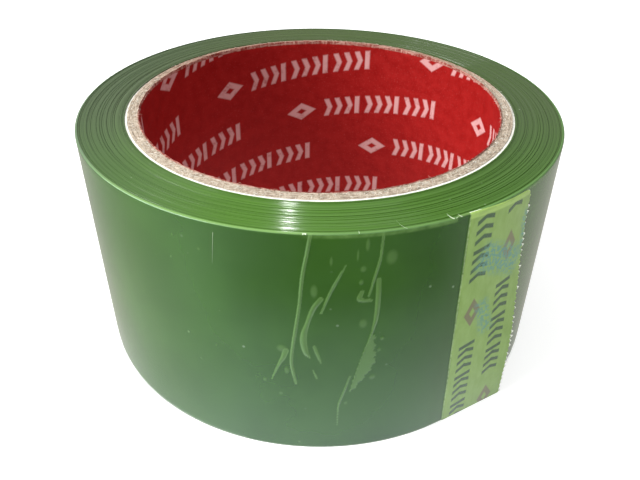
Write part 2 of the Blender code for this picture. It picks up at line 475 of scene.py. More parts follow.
# %% The print's diamond
half_mark = print_calc("MULTIPLY", given["Mark Length"], 0.5)
mark_along = print_calc("ABSOLUTE", print_calc("SUBTRACT", along, half_mark))
mark_along = print_calc("DIVIDE", mark_along, half_mark)
diamond = print_calc("ADD", mark_along, print_calc("DIVIDE", from_middle, half_height))
mark_outer = inside(print_calc("MULTIPLY", print_calc("SUBTRACT", diamond, 1.0), half_height))
mark_hole = inside(print_calc("MULTIPLY", print_calc("SUBTRACT", diamond, HOLE_SHARE), half_height))
mark = print_calc("SUBTRACT", mark_outer, mark_hole, clamp=True)
print_tree.links.new(mark, print_out.inputs["Mark"])
print(f"the diamond's hole is {HOLE_SHARE} of its size")

# %% [markdown]
# ## The band of arrowheads and bars
#
# The band is split into bars of one pitch, and the place inside a bar says if there is ink.

# %% The band of arrowheads and bars
bar_pitch = print_calc("DIVIDE", given["Band Length"], BARS_IN_BAND)
band_along = print_calc("SUBTRACT", along, given["Band Start"])
bar_number = print_calc("FLOOR", print_calc("DIVIDE", band_along, bar_pitch))
in_bar = print_calc("SUBTRACT", band_along, print_calc("MULTIPLY", bar_number, bar_pitch))
is_arrow = print_calc("LESS_THAN", print_calc("FLOORED_MODULO", bar_number, 4.0), 2.5)
point = print_calc("SUBTRACT", half_height, from_middle)
point = print_calc("MULTIPLY", print_calc("MULTIPLY", point, is_arrow), 2 * ARROW_REACH)
half_stroke = print_calc("MULTIPLY", bar_pitch, STROKE_SHARE / 2)
bar_side = print_calc("SUBTRACT", in_bar, print_calc("MULTIPLY", point, 0.5))
bar_side = print_calc("ABSOLUTE", print_calc("SUBTRACT", bar_side, half_stroke))
bar_side = print_calc("SUBTRACT", bar_side, half_stroke)
bar_end = print_calc("SUBTRACT", from_middle, half_height)
in_band = print_calc(
    "MULTIPLY",
    print_calc("GREATER_THAN", band_along, 0.0),
    print_calc("LESS_THAN", band_along, given["Band Length"]),
)
bars = print_calc("MULTIPLY", inside(print_calc("MAXIMUM", bar_side, bar_end)), in_band)
print_tree.links.new(bars, print_out.inputs["Band"])
print("bars in a band", BARS_IN_BAND)

# %% [markdown]
# ## Shared effect: paper fibres
#
# Board, cover, liner and tab are all paper. Close up, paper is a felt of fibres that lie at every
# angle, so the group mixes long stretched noise in two directions with a fine grain. It puts out
# a mask for colour and a height for the surface, and each paper sets its own size.

# %% Shared effect: paper fibres
fibre_tree, fibre_in, fibre_out = new_group(
    "PaperFibres",
    [("Point", "Vector", None), ("Size", "Float", 1.0)],
    [("Fibres", "Float"), ("Specks", "Float")],
)
fibre_point = fibre_in.outputs["Point"]
fibre_scale = calc(fibre_tree, "DIVIDE", 1.0, fibre_in.outputs["Size"])
felts = []
for stretch in ((0.25, 1.0, 2.4), (1.0, 0.3, 1.7)):
    stretched = add_node(fibre_tree, "VectorMath", {0: fibre_point, 1: stretch}, operation="MULTIPLY")
    felt = {"Vector": stretched.outputs["Vector"], "Scale": fibre_scale}
    felt.update({"Detail": 4.0, "Roughness": 0.65, "Distortion": 0.6})
    felts.append(add_node(fibre_tree, "TexNoise", felt).outputs[0])
fibre_tree.links.new(calc(fibre_tree, "MAXIMUM", *felts), fibre_out.inputs["Fibres"])
speck_noise = noise(fibre_tree, fibre_point, times(fibre_tree, fibre_scale, 2.2))
fibre_tree.links.new(smooth_step(fibre_tree, speck_noise, 0.60, 0.72), fibre_out.inputs["Specks"])
print("group", fibre_tree.name)

# %% [markdown]
# ## Shared effect: dust
#
# Tape is tacky and its film holds a charge, so a few pale specks always sit on it. A cell pattern
# gives each speck its own place; a second, slower noise thins them out so that they gather in
# places. The film, the wound edges and the film over the tab share the group.

# %% Shared effect: dust
dust_tree, dust_in, dust_out = new_group(
    "Dust",
    [("Point", "Vector", None), ("Spacing", "Float", 3.0), ("Amount", "Float", 0.3)],
    [("Dust", "Float")],
)
DUST_LIMIT = 0.75
dust_point = dust_in.outputs["Point"]
dust_scale = calc(dust_tree, "DIVIDE", 1.0, dust_in.outputs["Spacing"])
cells = add_node(dust_tree, "TexVoronoi", {"Vector": dust_point, "Scale": dust_scale})
speck = smooth_step(dust_tree, cells.outputs["Distance"], 0.10, 0.04)
patches = noise(dust_tree, dust_point, times(dust_tree, dust_scale, 0.35))
dusty_from = calc(dust_tree, "SUBTRACT", DUST_LIMIT, dust_in.outputs["Amount"])
dusty = smooth_step(dust_tree, patches, dusty_from, DUST_LIMIT)
dust_tree.links.new(times(dust_tree, speck, dusty), dust_out.inputs["Dust"])
print("group", dust_tree.name)

# %% [markdown]
# ## Helpers for round meshes
#
# Almost every piece here is a sheet bent round the axis: plies, liner, film and tab. Such a sheet
# could be a plane with a Simple Deform modifier, but torn edges, teeth and creases need every
# point placed by rule. So the points come in a grid, rows upwards and columns round the roll.

# %% Helpers for round meshes
def polar_points(radius, angle, height):
    """Points as rows of x, y, z; the three arrays have one shape, and angles are in degrees."""
    turn = np.radians(angle)
    radius, turn, height = np.broadcast_arrays(radius, turn, height)
    return np.stack([radius * np.sin(turn), -radius * np.cos(turn), height], axis=-1)


def grid_quads(rows, columns, closed=False):
    """Corner numbers of a grid's faces, row by row."""
    across = np.arange(columns if closed else columns - 1)
    row, column = np.meshgrid(np.arange(rows - 1), across, indexing="ij")
    here, after = row * columns + column, row * columns + (column + 1) % columns
    return np.stack([here, after, after + columns, here + columns], axis=-1).reshape(-1, 4)


def new_mesh(name, points, faces):
    """A mesh from a grid or a list of points and the corner numbers of its faces."""
    mesh = bpy.data.meshes.new(name)
    mesh.from_pydata(points.reshape(-1, 3).tolist(), [], np.asarray(faces).tolist())
    mesh.validate()
    return mesh


def closed_ring(name, points):
    """A ring whose rows go once round its section and whose columns go round the roll."""
    rows, columns = points.shape[:2]
    last = (rows - 1) * columns
    here = np.arange(columns)
    after = (here + 1) % columns
    closing = np.stack([last + here, last + after, after, here], axis=-1)
    return new_mesh(name, points, np.concatenate([grid_quads(rows, columns, True), closing]))


def shaded_object(mesh, sharp_angle):
    """An object whose edges stay sharp where they turn by more than an angle in degrees."""
    mesh.shade_smooth()
    mesh.set_sharp_from_angle(angle=math.radians(sharp_angle))
    piece = bpy.data.objects.new(mesh.name, mesh)
    bpy.context.scene.collection.objects.link(piece)
    print(f"{piece.name}: {len(mesh.polygons)} faces")
    return piece


def add_piece(piece, body, slot, material, *nodes):
    """Gives a finished piece its material and its place among the frame's bodies."""
    piece.data.materials.append(material)
    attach(piece, body)
    if nodes:
        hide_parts(*nodes)


print("mesh helpers ready")

# %% [markdown]
# ## A helper for rolled sheets
#
# Film and paper have two faces and a thin edge all round. The helper takes a grid of points for
# each face and closes them into one shell. It stores the sheet unrolled, in millimetres, as a UV
# map, so that print lies on it as on flat paper, and keeps marks such as where air is caught.

# %% A helper for rolled sheets
FLAT_MAP = "flat_mm"
SHEET_SHARP = 38  # degrees


def corner_numbers(mesh):
    """The point number of each face corner."""
    numbers = np.empty(len(mesh.loops), dtype=np.int64)
    mesh.loops.foreach_get("vertex_index", numbers)
    return numbers


def store_flat_map(mesh, flat):
    """Stores the flat place of each face corner as a UV map."""
    layer = mesh.uv_layers.new(name=FLAT_MAP)
    layer.uv.foreach_set("vector", flat.astype(np.float32).ravel())


def rolled_sheet(name, outer, inner, flat, marks):
    """One closed body between two grids of points, with its flat places and its marks."""
    rows, columns = outer.shape[:2]
    count = rows * columns
    quads = grid_quads(rows, columns)
    ring = np.arange(columns - 1)
    bottom = np.stack([ring + 1, ring, ring + count, ring + 1 + count], axis=-1)
    top = (rows - 1) * columns + np.stack([ring, ring + 1, ring + 1 + count, ring + count], axis=-1)
    start = np.arange(rows - 1) * columns
    starts = np.stack([start, start + columns, start + columns + count, start + count], axis=-1)
    end = start + columns - 1
    ends = np.stack([end + columns, end, end + count, end + columns + count], axis=-1)
    faces = np.concatenate([quads, quads[:, ::-1] + count, bottom, top, starts, ends])
    mesh = new_mesh(name, np.concatenate([outer.reshape(-1, 3), inner.reshape(-1, 3)]), faces)
    store_flat_map(mesh, np.tile(flat.reshape(-1, 2), (2, 1))[corner_numbers(mesh)])
    for mark, values in marks.items():
        attribute = mesh.attributes.new(mark, "FLOAT", "POINT")
        attribute.data.foreach_set("value", np.tile(values.ravel(), 2).astype(np.float32))
    return shaded_object(mesh, SHEET_SHARP)


print("sheets turn sharp at", SHEET_SHARP, "degrees")

# %% [markdown]
# ## Finish: wound edges of film
#
# The roll's flat faces are the cut edges of some two hundred turns. Each edge is clear green, a
# little rough from slitting, and together they scatter light along the radius but not round it.
# Rings of noise by radius give the lines, a slow noise fades them round the roll, and
# anisotropy with a radial grain stretches highlights into a streak. The colour also holds painted
# light: a greyer painted sheen towards the back and on the left, and painted shade on the right.

# %% Finish: wound edges of film
edges_material, tree, shader = new_material(
    "wound_edges",
    Roughness=0.18,
    IOR=1.5,
    Anisotropic=1.0,
    Anisotropic_Rotation=0.25,
    Specular_IOR_Level=0.35,
)
places = place_group(tree, places_tree)
point, radius = places.outputs["Point"], places.outputs["Radius"]
right, back, _ = axes(tree, point)
ring_place = calc(tree, "ADD", radius, times(tree, noise(tree, point, 0.02, 1.0), 0.3))


def ring_noise_at(scale, detail, roughness):
    """Noise that changes with the radius only, so it draws rings."""
    inputs = {"W": ring_place, "Scale": scale, "Detail": detail, "Roughness": roughness}
    return add_node(tree, "TexNoise", inputs, noise_dimensions="1D").outputs[0]


fine_rings = ring_noise_at(9.0, 3.0, 0.7)
broad = smooth_step(tree, ring_noise_at(1.6, 2.0, 0.6), 0.3, 0.7)
patchy = smooth_step(tree, noise(tree, point, 0.09, 3.0), 0.40, 0.62)
dark_rings = times(tree, smooth_step(tree, fine_rings, 0.58, 0.72), patchy)
# Painted light: painted shade darkens the right side, and a paler, greyer painted sheen lies over the
# left.
painted_shade_right = smooth_step(tree, right, -30.0, 48.0)
painted_sheen_left = smooth_step(tree, right, -4.0, -46.0)
sheen_left_rim = times(tree, smooth_step(tree, radius, 43.0, 46.0), painted_sheen_left)
ring_depth = calc(tree, "MULTIPLY_ADD", sheen_left_rim, 0.40, 0.30)
scored = times(tree, smooth_step(tree, fine_rings, 0.48, 0.58), sheen_left_rim)
dust = place_group(tree, dust_tree, {"Point": point, "Spacing": 2.2, "Amount": 0.25})
# Painted sheen: the green turns greyer and less green towards the back, where the edges are seen at a
# grazing angle.
front_edge_green = blend_colours(tree, broad, (0.059, 0.154, 0.014), (0.076, 0.184, 0.022))
painted_back_sheen = blend_colours(tree, broad, (0.066, 0.096, 0.032), (0.077, 0.110, 0.042))
green = blend_colours(tree, smooth_step(tree, back, -46.0, 6.0), front_edge_green, painted_back_sheen)
green = overlay(
    tree,
    green,
    (painted_shade_right, 0.4, (0.030, 0.075, 0.014)),
    (painted_sheen_left, 0.55, (0.070, 0.106, 0.054)),
    (dark_rings, ring_depth, (0.024, 0.056, 0.014)),
    (scored, 0.45, (0.036, 0.066, 0.030)),
    (dust.outputs["Dust"], 0.5, (0.55, 0.62, 0.48)),
)
finish(tree, shader, green)
radial = add_node(tree, "Tangent", direction_type="RADIAL", axis="Z")
tree.links.new(radial.outputs["Tangent"], shader.inputs["Tangent"])
print("material", edges_material.name)

# %% [markdown]
# ## The wound bulk
#
# Under the outermost turn the roll is one spiral of film. Modelling each of its turns would need
# millions of faces, and at arm's length they can't be told apart. What can be seen is that turns
# stand a little high or low in small groups. So the profile is a comb of many low ridges, and
# each of them wanders up and down slowly round the roll.

# %% The wound bulk: its ridges
RIDGES = 120
RIDGE_GAP = 0.018 * MM
DEEP_SHARE = 0.09  # of the ridges that stand clearly lower
RIM_RADIUS = 0.55 * MM
ridge_dice = random.Random(41)


def ridge_table():
    """For each ridge its two radii, its height above the frame's band and how it wanders."""
    widths = [ridge_dice.uniform(0.6, 1.5) for _ in range(RIDGES)]
    inner_edge = cover_span.outer + 0.03 * MM
    outer_edge = winding_span.outer - RIM_RADIUS
    scale = (outer_edge - inner_edge) / sum(widths)
    table, start = [], inner_edge
    for width in widths:
        end = start + width * scale
        deep = 1.0 if ridge_dice.random() < DEEP_SHARE else 0.0
        height = ridge_dice.gauss(0.0, 0.012) * MM - deep * ridge_dice.uniform(0.05, 0.10) * MM
        sway = ridge_dice.uniform(0.004, 0.022) * MM
        phase, waves = ridge_dice.uniform(0, 360), ridge_dice.choice((1, 1, 2, 3))
        table.append((start, end, height, sway, phase, waves))
        start = end
    return table


def winding_rows(level, side, angles):
    """Rows of radii and heights across one face of the winding; side is 1 on top, -1 below."""
    rows = []
    for start, end, height, sway, phase, waves in ridges:
        wander = sway * np.sin(np.radians(waves * angles + phase))
        z = level + side * (height + wander)
        rows.append((np.full_like(angles, start + RIDGE_GAP), z))
        rows.append((np.full_like(angles, end - RIDGE_GAP), z))
    return rows


print(RIDGES, "ridges")

# %% [markdown]
# ## The winding's ring
#
# The comb's rows run out along the foot, round the rim, up the wall and back along the top. Each
# row is one circle, so every ridge can wander without the ring losing its shape.

# %% The winding's ring
ridges = ridge_table()
around = np.linspace(0.0, 360.0, 240, endpoint=False)
top_level = winding_span.high - 0.06 * MM
foot_level = winding_span.low + 0.10 * MM
RIM_STEPS = 5
WINDING_SHARP = 60  # degrees


def rim_rows(level, side):
    """Rows of the rounded rim, from a flat face to the wall; side is 1 on top, -1 below."""
    turns = np.radians(np.linspace(0, 90, RIM_STEPS))
    radii = winding_span.outer - RIM_RADIUS * (1 - np.sin(turns))
    levels = level - side * RIM_RADIUS * (1 - np.cos(turns))
    return [(np.full_like(around, radius), np.full_like(around, z)) for radius, z in zip(radii, levels)]


profile = winding_rows(foot_level, -1, around) + rim_rows(foot_level, -1)
profile += rim_rows(top_level, 1)[::-1] + winding_rows(top_level, 1, around)[::-1]
circles = np.stack([polar_points(radius, around, z) for radius, z in profile])
winding = shaded_object(closed_ring("winding", circles), WINDING_SHARP)
add_piece(winding, "roll", "tape_film", edges_material, "tape_winding")

# %% [markdown]
# ## Shared effect: the film's own green
#
# Packing tape is clear stretched film with a coloured adhesive. The colour is never quite even,
# because the adhesive is spread by a roller and small blisters of air stay under it. Both the
# open wall and the film's free end show it, so the colour is a group with the place as its input.

# %% Shared effect: the film's own green
AIR_GREEN = (0.118, 0.230, 0.060)
# The rim's pale line is a painted highlight, brightest on the lip at the front and the left.
LIP_HIGHLIGHT_GREEN = (0.160, 0.295, 0.070)
DIM_RIGHT_HIGHLIGHT_GREEN = (0.098, 0.205, 0.042)  # the rim's painted highlight right of the front: dimmer, on a wider, softer band
DIM_SIDE_HIGHLIGHT_GREEN = (0.105, 0.150, 0.075)  # the rim's painted highlight at the sides and the back: dimmer and greyer
DUST_GREEN = (0.40, 0.50, 0.36)
green_tree, green_in, green_out = new_group(
    "FilmGreen", [("Point", "Vector", None)], [("Green", "Color")]
)
place = green_in.outputs["Point"]
cloud = smooth_step(green_tree, noise(green_tree, place, 0.06, 3.0), 0.35, 0.65)
green = blend_colours(green_tree, cloud, (0.028, 0.086, 0.006), (0.035, 0.104, 0.009))
pores = add_node(green_tree, "TexVoronoi", {"Vector": place, "Scale": 0.16})
blister = smooth_step(green_tree, pores.outputs["Distance"], 0.075, 0.045)
chance = add_node(green_tree, "SeparateColor", {"Color": pores.outputs["Color"]}).outputs[0]
blister = times(green_tree, blister, calc(green_tree, "GREATER_THAN", chance, 0.76))
dust = place_group(green_tree, dust_tree, {"Point": place, "Spacing": 3.6, "Amount": 0.28})
green = overlay(
    green_tree, green, (blister, 0.35, AIR_GREEN), (dust.outputs["Dust"], 0.42, DUST_GREEN)
)
green_tree.links.new(green, green_out.inputs["Green"])
print("group", green_tree.name)

# %% [markdown]
# ## Finish: glossy green film
#
# On the roll the film looks like deep green lacquer: a smooth coat over a dark body. Where air is
# caught under it the film looks paler, because light turns back at the air instead of going
# deeper. The pieces carry that as a mark named air, and the rolled rims as one named lip. The lip
# takes a painted highlight: a pale green, with a rougher surface and less coat.

# %% Finish: glossy green film
TAPE_TOP = winding_span.high / MM
film_material, tree, shader = new_material(
    "green_film",
    IOR=1.5,
    Specular_IOR_Level=0.55,
    Specular_Tint=(0.6, 1.0, 0.95, 1.0),
    Coat_Roughness=0.10,
    Coat_IOR=1.55,
)
point = place_group(tree, places_tree).outputs["Point"]
across, back, level = axes(tree, point)
air, lip = stored_mark(tree, "air"), stored_mark(tree, "lip")
green = place_group(tree, green_tree, {"Point": point}).outputs["Green"]
green = blend_colours(tree, air, green, AIR_GREEN)
# Painted highlight on the rim: pale green on the lip, and right of the front on a soft band just below
# the top.
painted_lip_highlight = blend_colours(tree, smooth_step(tree, back, -46.0, -22.0), LIP_HIGHLIGHT_GREEN, DIM_SIDE_HIGHLIGHT_GREEN)
right = smooth_step(tree, across, -4.0, 3.0)
painted_lip_highlight = overlay(tree, painted_lip_highlight, (right, 0.8, DIM_RIGHT_HIGHLIGHT_GREEN))
wavy = smooth_step(tree, noise(tree, point, 0.5, 3.0), 0.1, 0.7)
soft_rim_highlight = times(tree, smooth_step(tree, level, TAPE_TOP - 1.0, TAPE_TOP - 0.45), right)
soft_rim_highlight = times(tree, soft_rim_highlight, wavy)
green = blend_colours(tree, calc(tree, "MAXIMUM", lip, soft_rim_highlight), green, painted_lip_highlight)
smears = noise(tree, point, 0.11, 1.5)
roughness = calc(tree, "ADD", 0.10, times(tree, smears, 0.20))
roughness = calc(tree, "ADD", roughness, times(tree, lip, 0.55))
finish(tree, shader, green, roughness)
coat = calc(tree, "SUBTRACT", 1.0, times(tree, lip, 0.85))
tree.links.new(coat, shader.inputs["Coat Weight"])
print("material", film_material.name)

# %% [markdown]
# ## Creases and bubbles in the outermost turn
#
# The last turn was put back by hand, so air is caught under it in long tunnels, pockets and small
# bubbles. They could be drawn by a bump, but real tunnels stand proud and break the outline of
# reflections, so here they lift the film. Each tunnel is a path of a few listed points along the
# film and up it, with a width at each point; a smooth curve runs through them.

# %% Creases and bubbles: where they are
# A tunnel: its lift, then its points as (millimetres round from the front, height, width).
TUNNELS = [
    (0.16, [(-1.3, 51.0, 0.6), (-1.8, 47.7, 0.6), (-2.6, 42.7, 0.65), (-3.1, 37.0, 0.6),
            (-3.8, 31.3, 0.65), (-4.4, 26.7, 0.6), (-4.6, 22.7, 0.65), (-3.9, 18.0, 0.5)]),
    (0.12, [(4.3, 44.8, 0.3), (2.9, 41.7, 0.5), (1.7, 38.7, 0.5), (0.5, 35.0, 0.4)]),
    (0.14, [(0.4, 38.0, 0.9), (-0.8, 36.0, 0.9), (-1.8, 32.7, 0.8), (-2.5, 29.3, 1.2),
            (-2.1, 26.0, 1.0), (-1.4, 24.7, 0.4)]),
    (0.13, [(10.1, 50.5, 0.5), (9.9, 46.0, 0.5), (9.2, 42.3, 0.5), (8.4, 38.3, 0.4)]),
    (0.07, [(7.2, 39.3, 0.7), (6.9, 37.7, 0.9), (8.9, 37.3, 0.5)]),
    (0.15, [(9.9, 41.5, 0.8), (10.0, 37.7, 0.9), (9.9, 33.3, 0.8), (9.2, 29.3, 0.4),
            (8.2, 25.7, 0.3), (6.9, 20.3, 0.3), (6.0, 15.7, 0.25)]),
    (0.12, [(5.9, 19.7, 0.4), (4.9, 15.7, 0.45), (4.0, 12.0, 0.4), (3.9, 6.7, 0.25)]),
    (0.1, [(-5.6, 26.0, 1.1), (-6.1, 24.3, 0.9), (-6.8, 22.7, 0.6), (-8.3, 18.7, 0.3)]),
    (0.08, [(-0.6, 27.2, 0.6), (0.0, 25.3, 0.6), (0.6, 23.3, 0.3)]),
    (0.06, [(-0.8, 21.5, 0.3), (-0.1, 19.5, 0.4)]),
]
# A bubble: (round, height, half width, half height, lift).
BUBBLES = [
    (11.8, 45.8, 0.95, 1.4, 0.05), (7.2, 44.0, 0.5, 0.6, 0.05), (7.0, 41.3, 0.4, 0.5, 0.05),
    (2.0, 45.8, 0.25, 0.9, 0.03), (6.2, 46.8, 0.2, 1.1, 0.04), (7.7, 48.7, 0.35, 1.2, 0.05),
    (-0.7, 39.7, 0.6, 1.3, 0.03), (7.7, 32.3, 0.7, 1.0, 0.03), (11.3, 28.3, 0.4, 0.4, 0.06),
    (10.9, 25.7, 0.35, 0.4, 0.05), (10.0, 19.0, 0.6, 0.6, 0.06), (-5.5, 21.2, 0.4, 0.8, 0.05),
    (5.3, 12.7, 0.35, 0.4, 0.03), (-9.6, 18.2, 0.35, 0.4, 0.03), (-6.3, 26.5, 0.9, 0.8, 0.04),
]
# The broad pocket beside the long tunnel: its free side, from top to bottom.
POCKET_SIDE = [(9.9, 28.7), (10.1, 26.0), (10.3, 23.0), (9.2, 20.3), (8.2, 18.7), (6.2, 15.7)]
POCKET_RIDGE = [(9.2, 29.3), (8.2, 25.7), (7.5, 22.7), (6.9, 20.3), (6.0, 15.7)]
POCKET_LIFT, POCKET_AIR = 0.05, 0.62
BUBBLE_AIR = 0.42
print(len(TUNNELS), "tunnels and", len(BUBBLES), "bubbles")

# %% [markdown]
# ## Creases and bubbles: how they lift the film
#
# A tunnel is round across and lower at its ends, and its sides look palest, where the film bends
# down. A bubble is a low dome. The pocket is a shallow blister with one uneven side. Where two of
# them meet, the higher one counts.

# %% Creases and bubbles: how they lift the film
def smooth_path(points, steps=14):
    """A Catmull-Rom curve through given points, with all their numbers eased alike."""
    points = np.array(points, float)
    padded = np.vstack([2 * points[0] - points[1], points, 2 * points[-1] - points[-2]])
    share = np.linspace(0, 1, steps, endpoint=False)[:, None]
    stretches = []
    for before, start, end, after in zip(padded, padded[1:], padded[2:], padded[3:]):
        square = (2 * before - 5 * start + 4 * end - after) * share**2
        cube = (3 * start - before - 3 * end + after) * share**3
        stretches.append(0.5 * (2 * start + (end - before) * share + square + cube))
    return np.vstack(stretches + [points[-1:]])


TAPER_STEPS, LOWEST_END = 10.0, 0.25  # how a tunnel's ends come down


def add_tunnel(lift, air, arc, height, rise, points):
    """Raises one tunnel in the film's two grids."""
    path = smooth_path(points)
    steps = np.arange(len(path))
    taper = np.clip(np.minimum(steps, steps[::-1]) / TAPER_STEPS, LOWEST_END, 1.0)
    reach = path[:, 2].max()
    near = (arc > path[:, 0].min() - reach) & (arc < path[:, 0].max() + reach)
    near &= (height > path[:, 1].min() - reach) & (height < path[:, 1].max() + reach)
    place = np.stack([arc[near], height[near]], axis=-1)
    gap = np.linalg.norm(place[:, None, :] - path[None, :, :2], axis=2)
    nearest = gap.argmin(axis=1)
    across = gap[np.arange(len(gap)), nearest] / (path[nearest, 2] / 2)
    crown = np.clip(1.0 - across**2, 0.0, 1.0) ** 1.3 * taper[nearest]
    lift[near] = np.maximum(lift[near], rise * crown)
    side = np.clip(1.0 - np.abs(across - 0.9) / 0.35, 0.0, 1.0)
    paler = np.clip((1.15 - across) / 0.3, 0.0, 1.0) * (0.62 + 0.38 * side)
    air[near] = np.maximum(air[near], paler)


def add_pocket(lift, air, arc, height):
    """Raises the broad pocket between its ridge and its free side."""
    side, ridge = smooth_path(POCKET_SIDE), smooth_path(POCKET_RIDGE)
    left = np.interp(height, ridge[::-1, 1], ridge[::-1, 0])
    right = np.interp(height, side[::-1, 1], side[::-1, 0])
    right = right + 0.22 * np.sin(height * 3.1) + 0.12 * np.sin(height * 7.3)
    across = (arc - left) / np.maximum(right - left, 0.05)
    inside_pocket = (height > POCKET_RIDGE[-1][1]) & (height < POCKET_RIDGE[0][1])
    inside_pocket &= (across > 0) & (across < 1)
    crown = np.sqrt(np.clip(4 * across * (1 - across), 0, 1))
    lift[inside_pocket] = np.maximum(lift, POCKET_LIFT * crown)[inside_pocket]
    air[inside_pocket] = np.maximum(air, POCKET_AIR)[inside_pocket]


def film_relief(arc, height):
    """How far the film is lifted, in millimetres, and how much air is under it, from 0 to 1."""
    lift, air = np.zeros_like(arc), np.zeros_like(arc)
    for rise, points in TUNNELS:
        add_tunnel(lift, air, arc, height, rise, points)
    for middle, level, half_width, half_height, rise in BUBBLES:
        across = np.sqrt(((arc - middle) / half_width) ** 2 + ((height - level) / half_height) ** 2)
        lift = np.maximum(lift, rise * np.clip(1.0 - across**2, 0.0, 1.0))
        air = np.maximum(air, BUBBLE_AIR * np.clip((1.2 - across) / 0.6, 0.0, 1.0))
    add_pocket(lift, air, arc, height)
    return lift * MM, air


print("film relief ready")

# %% [markdown]
# ## The outermost turn
#
# The outermost turn starts where the free end is still stuck down, runs left all the way round,
# and dives under itself. It is a spiral, so its radius shrinks by one film and its tack over the
# turn. At both rims the film has crept over the edge into a rolled lip, and the pale line round the
# top is a painted highlight on the upper lip. Two grids make it: a fine one in front, where the
# creases are, and a coarser one for the rest. They meet edge to edge on the same curve, so no seam
# shows.

# %% The outermost turn: its shape
SEAM_ANGLE = hinge_angle - 4.0
FRONT_END_ANGLE = -16.0
DIVE = 4.0  # degrees that the turn runs on under its own start
FILM_THICKNESS = 0.045 * MM
LIP_RADIUS, FOOT_RADIUS = 0.34 * MM, 0.12 * MM  # of the bends at the top and at the foot
LIP_REACH = 0.15 * MM  # flat stretch of the lip past its bend
wall_radius = turn_span.outer
spiral_step = turn_span.outer - turn_span.inner - FILM_THICKNESS


def turn_radius(angle):
    """The outer face's radius where the turn is at an angle, which falls as it runs left."""
    return wall_radius - spiral_step * (SEAM_ANGLE - angle) / 360.0


def lipped_rows(low, high, step, lip_steps=5):
    """How far in, how high and how sloped each row is, from the lower lip to the upper."""
    bends = np.radians(np.linspace(90, 0, lip_steps, endpoint=False))
    lean = np.append(1.0, 1 - np.cos(bends))
    drop = np.append(0.0, 1 - np.sin(bends))
    straight = max(2, round((high - low - FOOT_RADIUS - LIP_RADIUS) / step))
    levels = np.linspace(low + FOOT_RADIUS, high - LIP_RADIUS, straight + 1)
    flat_rows = np.zeros_like(levels)
    slope = np.concatenate([lean, flat_rows, lean[::-1]])
    inset = np.concatenate([FOOT_RADIUS * lean, flat_rows, LIP_RADIUS * lean[::-1]])
    inset[[0, -1]] += LIP_REACH
    height = np.concatenate([low + FOOT_RADIUS * drop, levels, high - LIP_RADIUS * drop[::-1]])
    return inset, height, slope


def lip_mark(slope, inwards):
    """1 on the upper lip, fading to 0 where its bend reaches the wall."""
    return np.where(inwards < 0, np.clip((slope - 0.10) / 0.25, 0, 1), 0.0)


def film_sheet(name, angles, low, high, step):
    """A stretch of the outermost turn between two heights, lips and creases included."""
    inset, height, slope = (np.meshgrid(angles, part)[1] for part in lipped_rows(low, high, step))
    angle = np.broadcast_to(angles, height.shape)
    arc = np.radians(angle) * wall_radius / MM
    lift, air = film_relief(arc, height / MM)
    on_wall = slope < 0.5
    inwards = np.where(height > (low + high) / 2, -1.0, 1.0)
    radius = turn_radius(angle) - inset + np.where(on_wall, lift, 0.0)
    outer = polar_points(radius, angle, height)
    inner_radius = radius - FILM_THICKNESS * (1 - slope)
    inner = polar_points(inner_radius, angle, height + inwards * FILM_THICKNESS * slope)
    flat = np.stack([arc, height / MM], axis=-1)
    marks = {"air": np.where(on_wall, air, 0.0), "lip": lip_mark(slope, inwards)}
    return rolled_sheet(name, outer, inner, flat, marks)


print(f"the turn runs from {SEAM_ANGLE:.1f} degrees round to {SEAM_ANGLE - 360.0 - DIVE:.1f}")

# %% [markdown]
# ## The outermost turn's two grids
#
# Columns stand close together where the creases are, and further apart towards the seam with the
# free end and round the back.

# %% The outermost turn's two grids
film_low = 0.03 * MM
film_high = winding_span.high + 0.02 * MM
CREASED_FROM, CREASED_TO = -10.6, 13.4  # millimetres round from the front
fine = np.arange(CREASED_FROM, CREASED_TO, 0.12) / (wall_radius / MM)
front_angles = np.concatenate(
    [
        np.linspace(FRONT_END_ANGLE, math.degrees(fine[0]), 12, endpoint=False),
        np.degrees(fine),
        np.linspace(math.degrees(fine[-1]), SEAM_ANGLE, 24)[1:],
    ]
)
row_step = 0.26 * MM
front = film_sheet("outer_turn_front", front_angles, film_low, film_high, row_step)
round_angles = np.linspace(SEAM_ANGLE - 360.0 - DIVE, FRONT_END_ANGLE, 270)
rest = film_sheet("outer_turn_round", round_angles, film_low, film_high, 1.2 * MM)
add_piece(front, "roll", "tape_film", film_material, "tape_outer_turn")
add_piece(rest, "roll", "tape_film", film_material, "tape_outer_turn")

# %% [markdown]
# ## Finish: film over the paper tab
#
# The white paper under the clear green film makes it a light yellow green, and the print reads
# through it as dark green arrowheads and brown diamonds. Where the paper has drawn the adhesive
# off, the colour turns blue and speckled. The paper lies against the film, so the finish carries
# what shows through it. Clear film would look the same there and take far longer to draw.
# The free end's flat map measures from the paper's edge, so the print keeps in line with it.

# %% Finish: film over the paper tab
TAB_PRINT = {
    "Repeat": 39.2,
    "Row Pitch": 7.35,
    "Row Shift": -12.4,
    "Height": 3.8,
    "Mark Length": 6.9,
    "Band Start": 11.2,
    "Band Length": 24.7,
    "Softness": 0.13,
}
TAB_ROW_MIDDLE = 3.65  # millimetres from the paper's edge to the first row's middle
TAB_MARK_FOOT = 24.8  # how high the first row's diamond starts


def tab_print(tree, flat_map):
    """The tab's print: its rows run up the tape."""
    x, y, _ = axes(tree, flat_map)
    along = calc(tree, "SUBTRACT", y, TAB_MARK_FOOT)
    across = calc(tree, "ADD", x, TAB_PRINT["Row Pitch"] / 2 - TAB_ROW_MIDDLE)
    return place_group(tree, print_tree, {"Along": along, "Across": across, **TAB_PRINT})


